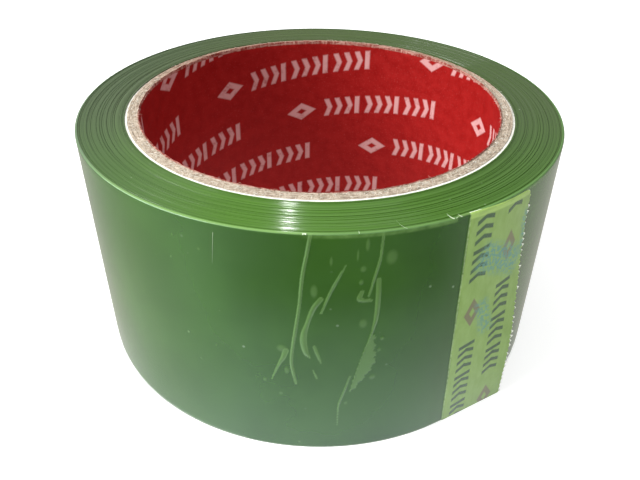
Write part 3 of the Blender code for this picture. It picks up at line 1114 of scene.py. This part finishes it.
def patch_band(tree, flat_map, start, end, width):
    """A soft-sided band between two flat places, 1 at its middle."""
    dx, dy = end[0] - start[0], end[1] - start[1]
    length = math.hypot(dx, dy)
    x, y, _ = axes(tree, flat_map)
    u = calc(tree, "SUBTRACT", x, start[0])
    v = calc(tree, "SUBTRACT", y, start[1])
    along = calc(tree, "MULTIPLY_ADD", u, dx / length, times(tree, v, dy / length))
    across = calc(tree, "MULTIPLY_ADD", u, -dy / length, times(tree, v, dx / length))
    side = smooth_step(tree, calc(tree, "ABSOLUTE", across), width, width * 0.35)
    near_end = smooth_step(tree, along, -1.5, 1.0)
    far_end = smooth_step(tree, along, length + 1.5, length - 1.0)
    return times(tree, side, times(tree, near_end, far_end))


print("tab print repeats every", TAB_PRINT["Repeat"], "mm")

# %% [markdown]
# ## Finish: the paper's colour through the film
#
# Streaks run down the paper where the film is pressed on unevenly. Ink comes first, then three
# blue patches where the adhesive has let go, broken up by a fine tearing noise.

# %% Finish: the paper's colour through the film
# Each blue patch: the flat places where it starts and ends, its half width and its strength.
PATCHES = (
    ((4.0, 41.0), (14.5, 36.0), 4.3, 1.0),
    ((15.6, 46.5), (16.2, 37.0), 2.0, 1.0),
    ((5.6, 30.0), (8.0, 22.0), 2.4, 0.8),
)
over_tab_material, tree, shader = new_material(
    "film_over_tab",
    IOR=1.5,
    Specular_IOR_Level=0.45,
    Specular_Tint=(0.6, 1.0, 0.95, 1.0),
    Coat_Weight=1.0,
    Coat_Roughness=0.12,
    Coat_IOR=1.55,
)
flat_map = add_node(tree, "UVMap", uv_map=FLAT_MAP).outputs["UV"]
tab_prints = tab_print(tree, flat_map)
drawn_out = add_node(tree, "VectorMath", {0: flat_map, 1: (1.0, 0.35, 1.0)}, operation="MULTIPLY")
streaks = noise(tree, drawn_out.outputs["Vector"], 0.5, 5.0, 0.7)
tear = noise(tree, flat_map, 1.3, 5.0, 0.75)
drawn_off = 0.0
for start, end, width, strength in PATCHES:
    patch = times(tree, patch_band(tree, flat_map, start, end, width), strength)
    drawn_off = calc(tree, "MAXIMUM", drawn_off, patch)
mottled = times(tree, drawn_off, smooth_step(tree, tear, 0.43, 0.53))
pressed = smooth_step(tree, streaks, 0.3, 0.7)
paper_green = blend_colours(tree, pressed, (0.212, 0.348, 0.064), (0.258, 0.402, 0.098))
paper_green = overlay(
    tree,
    paper_green,
    (tab_prints.outputs["Band"], 0.94, (0.036, 0.082, 0.034)),
    (tab_prints.outputs["Mark"], 0.9, (0.180, 0.150, 0.082)),
    (mottled, 0.88, (0.100, 0.270, 0.230)),
)
print("patches over the tab:", len(PATCHES))

# %% [markdown]
# ## Finish: from the tab's colour to the film's
#
# Left of the paper's edge the same sheet is stuck down, so there it has the film's own green. A
# pale line follows the edge, where the film climbs over it, and the rim carries a painted highlight
# as on the roll, in a wider band where the film lies over the paper.

# %% Finish: from the tab's colour to the film's
point = place_group(tree, places_tree).outputs["Point"]
over_paper, lip = stored_mark(tree, "over_paper"), stored_mark(tree, "lip")
past_edge, level, _ = axes(tree, flat_map)
stuck_green = place_group(tree, green_tree, {"Point": point}).outputs["Green"]
green = blend_colours(tree, over_paper, stuck_green, paper_green)
edge_line = smooth_step(tree, calc(tree, "ABSOLUTE", past_edge), 0.22, 0.05)
edge_line = times(tree, edge_line, smooth_step(tree, tear, 0.35, 0.6))
# Painted highlight on the rim: a bright yellow green where the film lies over the paper, in a band near
# the top.
painted_lip_highlight = blend_colours(tree, over_paper, LIP_HIGHLIGHT_GREEN, (0.38, 0.57, 0.13))
near_top = smooth_step(tree, level, TAPE_TOP - 1.15, TAPE_TOP - 0.75)
lip = calc(tree, "MAXIMUM", lip, times(tree, near_top, over_paper))
green = overlay(tree, green, (edge_line, 0.6, (0.42, 0.56, 0.26)), (lip, 0.8, painted_lip_highlight))
roughness = calc(tree, "MULTIPLY_ADD", tear, 0.25, 0.10)
finish(tree, shader, green, roughness, (calc(tree, "ADD", tear, streaks), 0.18, 0.00012))
print("material", over_tab_material.name)

# %% [markdown]
# ## Finish: the tab's own paper
#
# Behind the film the tab is thin white paper with the same print, uncoloured by the film. Only
# its torn teeth show past the film's, but the whole back shows when the tab is lifted.

# %% Finish: the tab's own paper
tab_paper_material, tree, shader = new_material("tab_paper", IOR=1.45, Specular_IOR_Level=0.35)
flat_map = add_node(tree, "UVMap", uv_map=FLAT_MAP).outputs["UV"]
fibres = place_group(tree, fibre_tree, {"Point": flat_map, "Size": 0.5}).outputs["Fibres"]
white = blend_colours(tree, fibres, (0.88, 0.90, 0.82), (0.74, 0.78, 0.66))
tab_prints = tab_print(tree, flat_map)
printed = calc(tree, "MAXIMUM", tab_prints.outputs["Band"], tab_prints.outputs["Mark"])
white = overlay(tree, white, (printed, 0.16, (0.30, 0.33, 0.30)))
roughness = calc(tree, "MULTIPLY_ADD", fibres, 0.3, 0.6)
finish(tree, shader, white, roughness, (fibres, 0.4, 0.00004))
print("material", tab_paper_material.name)

# %% [markdown]
# ## The free end and its paper tab
#
# The film's last stretch starts stuck down, climbs on to the paper's edge, covers the paper and
# ends in the saw cut of a dispenser's blade. The paper is cut by the same blade and a little
# longer, so its torn teeth show white. It is pressed down at the top, but lower down it springs
# straight and stands off the roll along a tangent. So each level of the sheet is an arc of its
# own, from the roll's bend at the top to a straight line at the foot.

# %% How the free end bends
PAPER_EDGE_AT_FOOT, PAPER_EDGE_AT_TOP = 0.33 * MM, -1.07 * MM  # past the line where it lifts
FREE_AT_FOOT, FREE_AT_TOP = 15.5 * MM, 15.7 * MM  # from the paper's edge to the cut
CUT_BOW = 0.25 * MM
CORNER = 1.7 * MM  # radius of the top corner
PRESSED_ABOVE, STRAIGHT_BELOW = 47 * MM, 10 * MM
TOOTH_PITCH = 1.22 * MM
TOOTH_DEPTH = 0.45 * MM
CLIMB = 0.6 * MM  # over this stretch the film climbs on to the paper
TOP_DROP = 0.55 * MM  # how far the top corner hangs below the roll's top
FREE_LOW, FREE_HIGH = tab_span.low, winding_span.high + 0.10 * MM
TEETH = 60  # sizes in the table; more teeth than that start it again
tooth_dice = random.Random(7)
tooth_sizes = np.array([tooth_dice.uniform(0.55, 1.35) for _ in range(TEETH)])
torn_sizes = np.array([tooth_dice.uniform(0.1, 1.0) ** 1.3 for _ in range(TEETH)])


def height_share(height):
    """0 at the free end's foot and 1 at its top."""
    return np.clip((height - FREE_LOW) / (FREE_HIGH - FREE_LOW), 0, 1)


def paper_edge(height):
    """Where the paper starts at a height, past the line where the free end lifts."""
    return PAPER_EDGE_AT_FOOT + (PAPER_EDGE_AT_TOP - PAPER_EDGE_AT_FOOT) * height_share(height)


def cut_place(height, torn):
    """Where the cut is at a height, past the paper's edge, teeth and torn paper included."""
    share = height_share(height)
    length = FREE_AT_FOOT + (FREE_AT_TOP - FREE_AT_FOOT) * share
    length = length + CUT_BOW * (1 - (2 * share - 1) ** 2)
    tooth = np.floor(height / TOOTH_PITCH)
    number = tooth.astype(int) % TEETH
    notch = np.abs((height / TOOTH_PITCH - tooth) * 2 - 1)
    length = length - TOOTH_DEPTH * tooth_sizes[number] * notch
    length = length + torn * torn_sizes[number] * (1 - notch)
    into_corner = np.clip(height - (FREE_HIGH - CORNER), 0, CORNER)
    return length - (CORNER - np.sqrt(CORNER**2 - into_corner**2))


def straightness(height):
    """0 where the sheet keeps the roll's bend, 1 where it is straight."""
    share = np.clip((PRESSED_ABOVE - height) / (PRESSED_ABOVE - STRAIGHT_BELOW), 0, 1)
    return share * share * (3 - 2 * share)


def bent_points(past_edge, height, stand_off):
    """Points of a sheet that leaves the wall at the paper's edge, some way off its underside."""
    start = hinge_angle + np.degrees((paper_edge(height) + np.minimum(past_edge, 0)) / wall_radius)
    turn = np.radians(start)
    free_length = np.maximum(past_edge, 0)
    bend = np.maximum((1 - straightness(height)) / wall_radius, 0.1)
    onward = np.sin(bend * free_length) / bend
    inward = (1 - np.cos(bend * free_length)) / bend
    facing = turn + bend * free_length
    from_axis = wall_radius - inward
    x = from_axis * np.sin(turn) + onward * np.cos(turn) + stand_off * np.sin(facing)
    y = onward * np.sin(turn) - from_axis * np.cos(turn) - stand_off * np.cos(facing)
    return np.stack([x, y, height + 0 * x], axis=-1)


foot_corner = bent_points(np.array([FREE_AT_FOOT]), np.array([FREE_LOW]), 0.0)[0]
print(f"foot corner stands {(math.hypot(*foot_corner[:2]) - wall_radius) / MM:.1f} mm off the wall")

# %% [markdown]
# ## The free end's two sheets
#
# Film and paper share the bend and the cut. Rows stay level, and each row ends where the cut
# crosses it, so the teeth are in the grid itself.

# %% The free end's two sheets
BODY_COLUMNS, TIP_COLUMNS = 52, 16
TIP = 3 * MM  # the stretch beside the cut, where columns stand closer for the teeth
FREE_ROW_STEP = 0.305 * MM
PAPER_THICKNESS = 0.085 * MM
TORN_PAST_FILM = 0.75 * MM
seam_place = math.radians(SEAM_ANGLE - hinge_angle) * wall_radius


def free_sheet(name, start, stand_off, thickness, torn):
    """A lipped sheet from a place beside the paper's edge to the cut, with teeth in its end."""
    inset, height, slope = lipped_rows(FREE_LOW, FREE_HIGH, FREE_ROW_STEP)
    first, ends = start(height)[:, None], cut_place(height, torn)[:, None]
    tip_start = FREE_AT_FOOT - TIP
    body = first + (tip_start - first) * np.linspace(0, 1, BODY_COLUMNS)
    tip = tip_start + (ends - tip_start) * np.linspace(0, 1, TIP_COLUMNS)[1:]
    past_edge = np.concatenate([body, tip], axis=1)
    shape = past_edge.shape
    inset, height, slope = (np.broadcast_to(part[:, None], shape) for part in (inset, height, slope))
    inset = inset * np.maximum(1 - straightness(height) * (past_edge > 0), 0.15)
    inwards = np.where(height > (FREE_LOW + FREE_HIGH) / 2, -1.0, 1.0)
    off = stand_off(past_edge) - inset
    outer = bent_points(past_edge, height, off)
    inner = bent_points(past_edge, height, off - thickness * (1 - slope))
    hang = TOP_DROP * np.clip(past_edge / FREE_AT_TOP, 0, 1) * height_share(height) ** 2
    outer[..., 2] -= hang
    inner[..., 2] += inwards * thickness * slope - hang
    flat = np.stack([past_edge, height], axis=-1) / MM
    over_paper = np.clip((past_edge / MM + 0.05) / 0.15, 0, 1)
    marks = {"over_paper": over_paper, "lip": lip_mark(slope, inwards)}
    return rolled_sheet(name, outer, inner, flat, marks)


print(f"the free end has {BODY_COLUMNS + TIP_COLUMNS - 1} columns")

# %% [markdown]
# ## Where film and paper lie
#
# The film starts at its seam and climbs on to the paper; the paper starts at its own edge and
# reaches further than the film at the cut.


def film_start(height):
    """The film starts at its seam with the outermost turn."""
    return seam_place - paper_edge(height)


def film_stand_off(past_edge):
    """The film climbs from the wall on to the paper's edge, then lies on the paper."""
    share = np.clip((past_edge + CLIMB * 0.6) / CLIMB, 0, 1)
    return (free_span.outer - wall_radius) * share * share * (3 - 2 * share)


def paper_start(height):
    """The paper starts a hair past its own edge line, at every height."""
    return np.full_like(height, 0.05 * MM)


def paper_stand_off(past_edge):
    """The paper lies just under the film, off the wall by the same gap everywhere."""
    return np.full_like(past_edge, tab_span.outer - 0.005 * MM - wall_radius)


free_film = free_sheet("free_end_film", film_start, film_stand_off, FILM_THICKNESS, 0.0)
tab_paper = free_sheet(
    "pull_tab_paper", paper_start, paper_stand_off, PAPER_THICKNESS, TORN_PAST_FILM
)
for sheet, slot, material, node in (
    (free_film, "free_film", over_tab_material, "tape_free_end"),
    (tab_paper, "tab_paper", tab_paper_material, "paper_pull_tab"),
):
    sheet.data.materials.append(material)
    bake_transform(sheet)
    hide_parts(node)

# %% [markdown]
# ## Finish: printed red liner
#
# The liner is thin red paper with a satin face, printed in pale pink. Its print is worn and
# blotchy, because ink on a wound tube rubs against the mandrel. The rows climb at a slant, since
# the liner was wound on as a spiral strip. The same print group serves, at its own size.

# %% Finish: printed red liner
LINER_SLANT = math.radians(9.7)  # how steeply the rows climb
LINER_PRINT_START, LINER_ROW_START = 16.1, 3.56
LINER_TOP = liner_span.high / MM
liner_material, tree, shader = new_material("red_liner", IOR=1.5, Specular_IOR_Level=0.08)
flat_map = add_node(tree, "UVMap", uv_map=FLAT_MAP).outputs["UV"]
u, v, _ = axes(tree, flat_map)
u = calc(tree, "SUBTRACT", math.radians(270) * liner_span.inner / MM, u)  # the print faces the axis
cosine, sine = math.cos(LINER_SLANT), math.sin(LINER_SLANT)
along = calc(tree, "ADD", times(tree, u, cosine), times(tree, v, sine))
across = calc(tree, "ADD", times(tree, u, -sine), times(tree, v, cosine))
print_places = {
    "Along": calc(tree, "SUBTRACT", along, LINER_PRINT_START),
    "Across": calc(tree, "SUBTRACT", across, LINER_ROW_START),
}
liner_prints = place_group(tree, print_tree, {**print_places, "Softness": 0.22})
fibres = place_group(tree, fibre_tree, {"Point": flat_map, "Size": 0.9})
worn = noise(tree, flat_map, 0.35, 5.0, 0.7)
torn = smooth_step(tree, v, LINER_TOP - 0.35, LINER_TOP - 0.05)
torn_fibres = times(tree, torn, smooth_step(tree, fibres.outputs["Fibres"], 0.45, 0.62))
ink = calc(tree, "MAXIMUM", liner_prints.outputs["Mark"], liner_prints.outputs["Band"])
ink = times(tree, ink, smooth_step(tree, worn, 0.15, 0.5))
ink = times(tree, ink, calc(tree, "SUBTRACT", 1.0, torn))
blotchy = smooth_step(tree, worn, 0.3, 0.7)
red = overlay(
    tree,
    blend_colours(tree, blotchy, (0.248, 0.0055, 0.005), (0.315, 0.011, 0.010)),
    (fibres.outputs["Specks"], 0.25, (0.42, 0.10, 0.09)),
    (ink, 0.85, (0.62, 0.36, 0.35)),
    (torn, 0.7, (0.20, 0.055, 0.04)),
    (torn_fibres, 0.6, (0.60, 0.38, 0.31)),
)
roughness = calc(tree, "ADD", 0.38, times(tree, worn, 0.25))
finish(tree, shader, red, roughness, (fibres.outputs["Fibres"], 0.3, 0.00005))
print("material", liner_material.name)

# %% [markdown]
# ## Finish: grey-brown board and white cover
# Core board is recycled paper: grey-brown, with pale and dark fibres and a few pink ones from the
# liner. The saw that cuts the tube leaves its edge fuzzy. The cover ply is clean white paper. Both
# are darker and browner towards the back, which is painted shade. Both
# look darker and browner at the back, where handling has soiled them.

# %% Finish: board and cover
def paper_material(name, size, roughness, bump_depth, light, dark, fleck, back_shade):
    """Paper with fibres of a size in millimetres; back_shade is the painted shade it takes behind."""
    material, tree, shader = new_material(name, IOR=1.45, Specular_IOR_Level=0.25)
    point = place_group(tree, places_tree).outputs["Point"]
    fibres = place_group(tree, fibre_tree, {"Point": point, "Size": size})
    specks = fibres.outputs["Specks"]
    felted = smooth_step(tree, fibres.outputs["Fibres"], 0.42, 0.68)
    # Painted shade: darker and browner towards the back.
    behind = smooth_step(tree, axes(tree, point)["Y"], -4.0, 34.0)
    colour = blend_colours(tree, felted, dark, light)
    colour = overlay(tree, colour, (specks, 0.6, fleck), (behind, 0.7, back_shade))
    rough = calc(tree, "ADD", roughness, times(tree, specks, 0.08))
    finish(tree, shader, colour, rough, (fibres.outputs["Fibres"], 0.6, bump_depth))
    return material


board_material = paper_material(
    "grey_board",
    size=0.42,
    roughness=0.88,
    bump_depth=0.00016,
    light=(0.55, 0.475, 0.38),
    dark=(0.26, 0.205, 0.15),
    fleck=(0.50, 0.32, 0.25),
    back_shade=(0.27, 0.13, 0.09),
)
cover_material = paper_material(
    "white_cover",
    size=0.5,
    roughness=0.8,
    bump_depth=0.00005,
    light=(0.86, 0.85, 0.79),
    dark=(0.74, 0.73, 0.66),
    fleck=(0.66, 0.63, 0.55),
    back_shade=(0.34, 0.23, 0.16),
)
print("materials", board_material.name, cover_material.name)

# %% [markdown]
# ## The core
#
# The core is a tube wound from strips. Seen from above only its cut edge shows, so that is where
# the work goes: each ply is a thin ring whose ends are roughened by noise, with fibres lifting
# here and there. The red liner ends in a torn line that runs a little above and below the board.

# %% The core: a tube with rough ends
CORE_COLUMNS = 720
END_DEPTH = 1.5 * MM  # how far a rough end reaches into the tube
PLY_SHARP = 50  # degrees
core_angles = np.linspace(0.0, 360.0, CORE_COLUMNS, endpoint=False)
rough_dice = np.random.default_rng(19)


def ring_noise(coarse, depth):
    """Seeded noise round a ring, smooth between its coarse points."""
    knots = rough_dice.uniform(-1.0, 1.0, coarse)
    places = np.arange(CORE_COLUMNS) * coarse / CORE_COLUMNS
    start = np.floor(places).astype(int)
    share = places - start
    share = share * share * (3 - 2 * share)
    return depth * (knots[start % coarse] * (1 - share) + knots[(start + 1) % coarse] * share)


def rough_end(inner, outer, level, side, roughness, edge_rows, raised):
    """Rows up the outside, over one cut end and down the bore; side is 1 on top, -1 below."""
    levels = []
    for _ in range(edge_rows + 2):
        uneven = raised + ring_noise(240, roughness) + ring_noise(60, roughness * 0.6)
        levels.append(level + side * np.minimum(0.02 * MM + 1.8 * raised, uneven))
    middle = level - side * END_DEPTH
    over = list(zip(np.linspace(outer, inner, edge_rows + 2), levels))
    return [(outer, middle)] + over + [(inner, middle)]


def unrolled_corners(mesh, points, inner):
    """Flat places of a tube's face corners, kept whole where a face crosses the seam."""
    arc = np.broadcast_to(np.radians(core_angles) * inner / MM, points.shape[:2])
    flat = np.stack([arc, points[:, :, 2] / MM], axis=-1).reshape(-1, 2)
    corners = flat[corner_numbers(mesh)]
    full_turn = 2 * math.pi * inner / MM
    arcs = corners[:, 0].reshape(-1, 4)
    crosses = np.ptp(arcs, axis=1, keepdims=True) > full_turn / 2
    corners[:, 0] = np.where(crosses & (arcs < full_turn / 2), arcs + full_turn, arcs).ravel()
    return corners


def ply_tube(name, inner, outer, low, high, roughness, edge_rows=4, lift=0.0):
    """A thin tube whose two cut ends are uneven; lift raises the upper one."""
    rows = rough_end(inner, outer, low, -1.0, roughness, edge_rows, 0.0)[::-1]
    rows += rough_end(inner, outer, high, 1.0, roughness, edge_rows, lift)
    points = np.stack([polar_points(radius, core_angles, level) for radius, level in rows])
    mesh = closed_ring(name, points)
    store_flat_map(mesh, unrolled_corners(mesh, points, inner))
    return shaded_object(mesh, PLY_SHARP)


print("tubes have", CORE_COLUMNS, "columns")

# %% [markdown]
# ## The core: liner, plies and cover
#
# The liner was torn highest at the back, and the cover's cut edge sinks most there. The cover
# looks a little wider than it is, since its white edge spreads over the board's.

# %% The core: liner, plies and cover
COVER_SHOWS = 0.02 * MM  # how much wider than the frame's the cover's cut edge looks
cosines = np.cos(np.radians(core_angles))  # 1 in front, -1 at the back
liner_lift = (0.26 - 0.22 * cosines) * MM
cover_sinks = (0.24 - 0.20 * cosines) * MM
liner = ply_tube(
    "liner",
    liner_span.inner,
    liner_span.outer + 0.08 * MM,
    liner_span.low,
    liner_span.high,
    roughness=0.12 * MM,
    edge_rows=3,
    lift=liner_lift,
)
add_piece(liner, "roll", "liner_paper", liner_material, "core_liner")
for number in range(1, 5):
    node = f"core_board_ply_{number}"
    span = Span(node)
    grown = 0.03 * MM if number < 4 else 0.02 * MM - COVER_SHOWS
    ply = ply_tube(
        f"board_ply_{number}",
        span.inner - 0.01 * MM,
        span.outer + grown,
        span.low,
        span.high,
        roughness=0.09 * MM,
    )
    add_piece(ply, "roll", "core_board", board_material, node)
cover = ply_tube(
    "cover_ply",
    cover_span.inner - COVER_SHOWS,
    cover_span.outer,
    cover_span.low,
    cover_span.high - cover_sinks,
    roughness=0.03 * MM,
    edge_rows=2,
)
add_piece(cover, "roll", "cover_paper", cover_material, "core_cover_ply")

# %% [markdown]
# ## Slivers: loose fibres and burrs
#
# A saw leaves paper fibres standing on the board's edge, and red ones where the liner tore. The
# film's rim has a few curled burrs where the slitting knife dragged it. Each is a thin sliver
# that tapers to nothing. They are made together, one piece for each kind, from a seeded dice.

# %% Slivers: a helper
SLIVER_SHARES = (0.0, 0.25, 0.5, 0.75, 1.0)  # places along a sliver


def sliver_piece(name, slivers, slot, material):
    """One piece made of thin tapering slivers with four sides; each is its points and a width."""
    points, faces = [], []
    for path, width in slivers:
        first = len(points)
        for step, place in enumerate(path):
            share = step / (len(path) - 1)
            reach = width / 2 * (1 - 0.85 * share)
            ahead = path[min(step + 1, len(path) - 1)] - path[max(step - 1, 0)]
            sideways = ahead.cross(Vector((0, 0, 1)))
            sideways = sideways.normalized() if sideways.length > 1e-9 else Vector((1, 0, 0))
            upwards = sideways.cross(ahead).normalized()
            for turn_step in range(4):
                corner = math.pi / 2 * turn_step
                out = sideways * math.cos(corner) + upwards * math.sin(corner)
                points.append(place + out * reach)
        for step in range(len(path) - 1):
            here = first + 4 * step
            for side in range(4):
                after = (side + 1) % 4
                faces.append((here + side, here + after, here + 4 + after, here + 4 + side))
        faces.append(tuple(first + side for side in (3, 2, 1, 0)))
        last = first + 4 * (len(path) - 1)
        faces.append(tuple(last + side for side in (0, 1, 2, 3)))
    piece = bpy.data.objects.new(name, new_mesh(name, np.array(points), faces))
    bpy.context.scene.collection.objects.link(piece)
    add_piece(piece, "roll", slot, material)
    print(f"{name}: {len(slivers)} slivers")


def lying_sliver(dice, radius, angle, level, length, arch, width):
    """A sliver that lies on a level face, turned any way, with its middle arched up."""
    heading = math.radians(angle) + dice.gauss(0.0, 0.9)
    start = round_point(radius, angle, level)
    along = Vector((math.cos(heading), math.sin(heading), 0.0)) * length
    bow = Vector((-along.y, along.x, 0.0)) * dice.uniform(-0.25, 0.25)
    path = []
    for share in SLIVER_SHARES:
        sideways = bow * math.sin(math.pi * share)
        upwards = Vector((0, 0, arch)) * math.sin(math.pi * share)
        path.append(start + along * share + sideways + upwards)
    return path, width


def scattered_slivers(dice, count, level, radii, lengths, arches, widths):
    """Slivers at random places round a level face; each range is in millimetres."""
    slivers = []
    for _ in range(count):
        radius, angle = dice.uniform(*radii) * MM, dice.uniform(0, 360)
        length, arch, width = (dice.uniform(*sizes) * MM for sizes in (lengths, arches, widths))
        slivers.append(lying_sliver(dice, radius, angle, level, length, arch, width))
    return slivers


print("sliver helpers ready")

# %% [markdown]
# ## Loose fibres
#
# Fibres lie over the board's whole edge and turn any way. Those from the torn liner are thicker
# and redder, and stay close to the bore.

# %% Loose fibres
fibre_dice = random.Random(5)
board_top = Span("core_board_ply_2").high - 0.02 * MM
board_from = liner_span.outer / MM + 0.25
board_to = (cover_span.inner - COVER_SHOWS) / MM - 0.1
board_slivers = scattered_slivers(
    fibre_dice, 420, board_top, (board_from, board_to), (0.5, 1.4), (0.04, 0.14), (0.05, 0.10)
)
sliver_piece("core_fibres", board_slivers, "cover_paper", cover_material)
liner_edge = liner_span.outer / MM
liner_slivers = scattered_slivers(
    fibre_dice,
    240,
    board_top + 0.05 * MM,
    (liner_edge + 0.05, liner_edge + 0.35),
    (0.4, 1.0),
    (0.05, 0.20),
    (0.06, 0.12),
)
fibre_red, tree, shader = new_material("liner_fibre", IOR=1.45, Roughness=0.8, Specular_IOR_Level=0.2)
shade = noise(tree, place_group(tree, places_tree).outputs["Point"], 1.2)
shade = smooth_step(tree, shade, 0.35, 0.65)
finish(tree, shader, blend_colours(tree, shade, (0.42, 0.21, 0.15), (0.66, 0.50, 0.40)))
sliver_piece("liner_fibres", liner_slivers, "liner_paper", fibre_red)

# %% [markdown]
# ## Burrs and a scuff on the film
#
# The burrs stand where the slitting knife dragged the rim, most of them beside the tab. They are
# placed one by one. With them goes one scuff down the wall, where the film was scratched.

# %% Burrs and a scuff on the film
burr_material, tree, shader = new_material(
    "film_burr", IOR=1.5, Roughness=0.35, Specular_IOR_Level=0.5
)
shade = noise(tree, place_group(tree, places_tree).outputs["Point"], 0.8)
finish(tree, shader, blend_colours(tree, shade, (0.50, 0.68, 0.38), (0.78, 0.88, 0.68)))
# Each burr: its angle, how far it reaches to the left, inwards and up, and its width.
BURRS = (
    (-2.9, -0.55, 0.10, 0.10, 0.42),
    (-2.2, 0.50, 0.05, 0.12, 0.38),
    (7.1, 0.10, 0.25, 0.30, 0.16),
    (15.8, 1.6, 0.9, 1.1, 0.05),
    (25.2, 1.05, 0.75, 0.75, 0.28),
    (25.6, -0.45, 0.10, 0.15, 0.15),
    (26.9, 0.60, 0.35, 0.40, 0.20),
)
BURR_CURL = 1.6  # above 1, a burr turns up towards its tip
SCUFF_WIDTH = 0.06 * MM
burrs = []
for angle, left, inwards, up, width in BURRS:
    foot = round_point(wall_radius - 0.12 * MM, angle, film_high - 0.04 * MM)
    leftwards = round_point(left, angle - 90.0, 0.0)
    curl = round_point(-inwards, angle, up)
    path = [
        foot + (leftwards * share + curl * share**BURR_CURL) * MM for share in SLIVER_SHARES
    ]
    burrs.append((path, width * MM))
scuff = []
for step in range(len(SLIVER_SHARES)):
    place = round_point(wall_radius + 0.01 * MM, -19.3 - 0.19 * step, (49.2 - 1.55 * step) * MM)
    scuff.append(place)
sliver_piece("rim_burrs", burrs + [(scuff, SCUFF_WIDTH)], "tape_film", burr_material)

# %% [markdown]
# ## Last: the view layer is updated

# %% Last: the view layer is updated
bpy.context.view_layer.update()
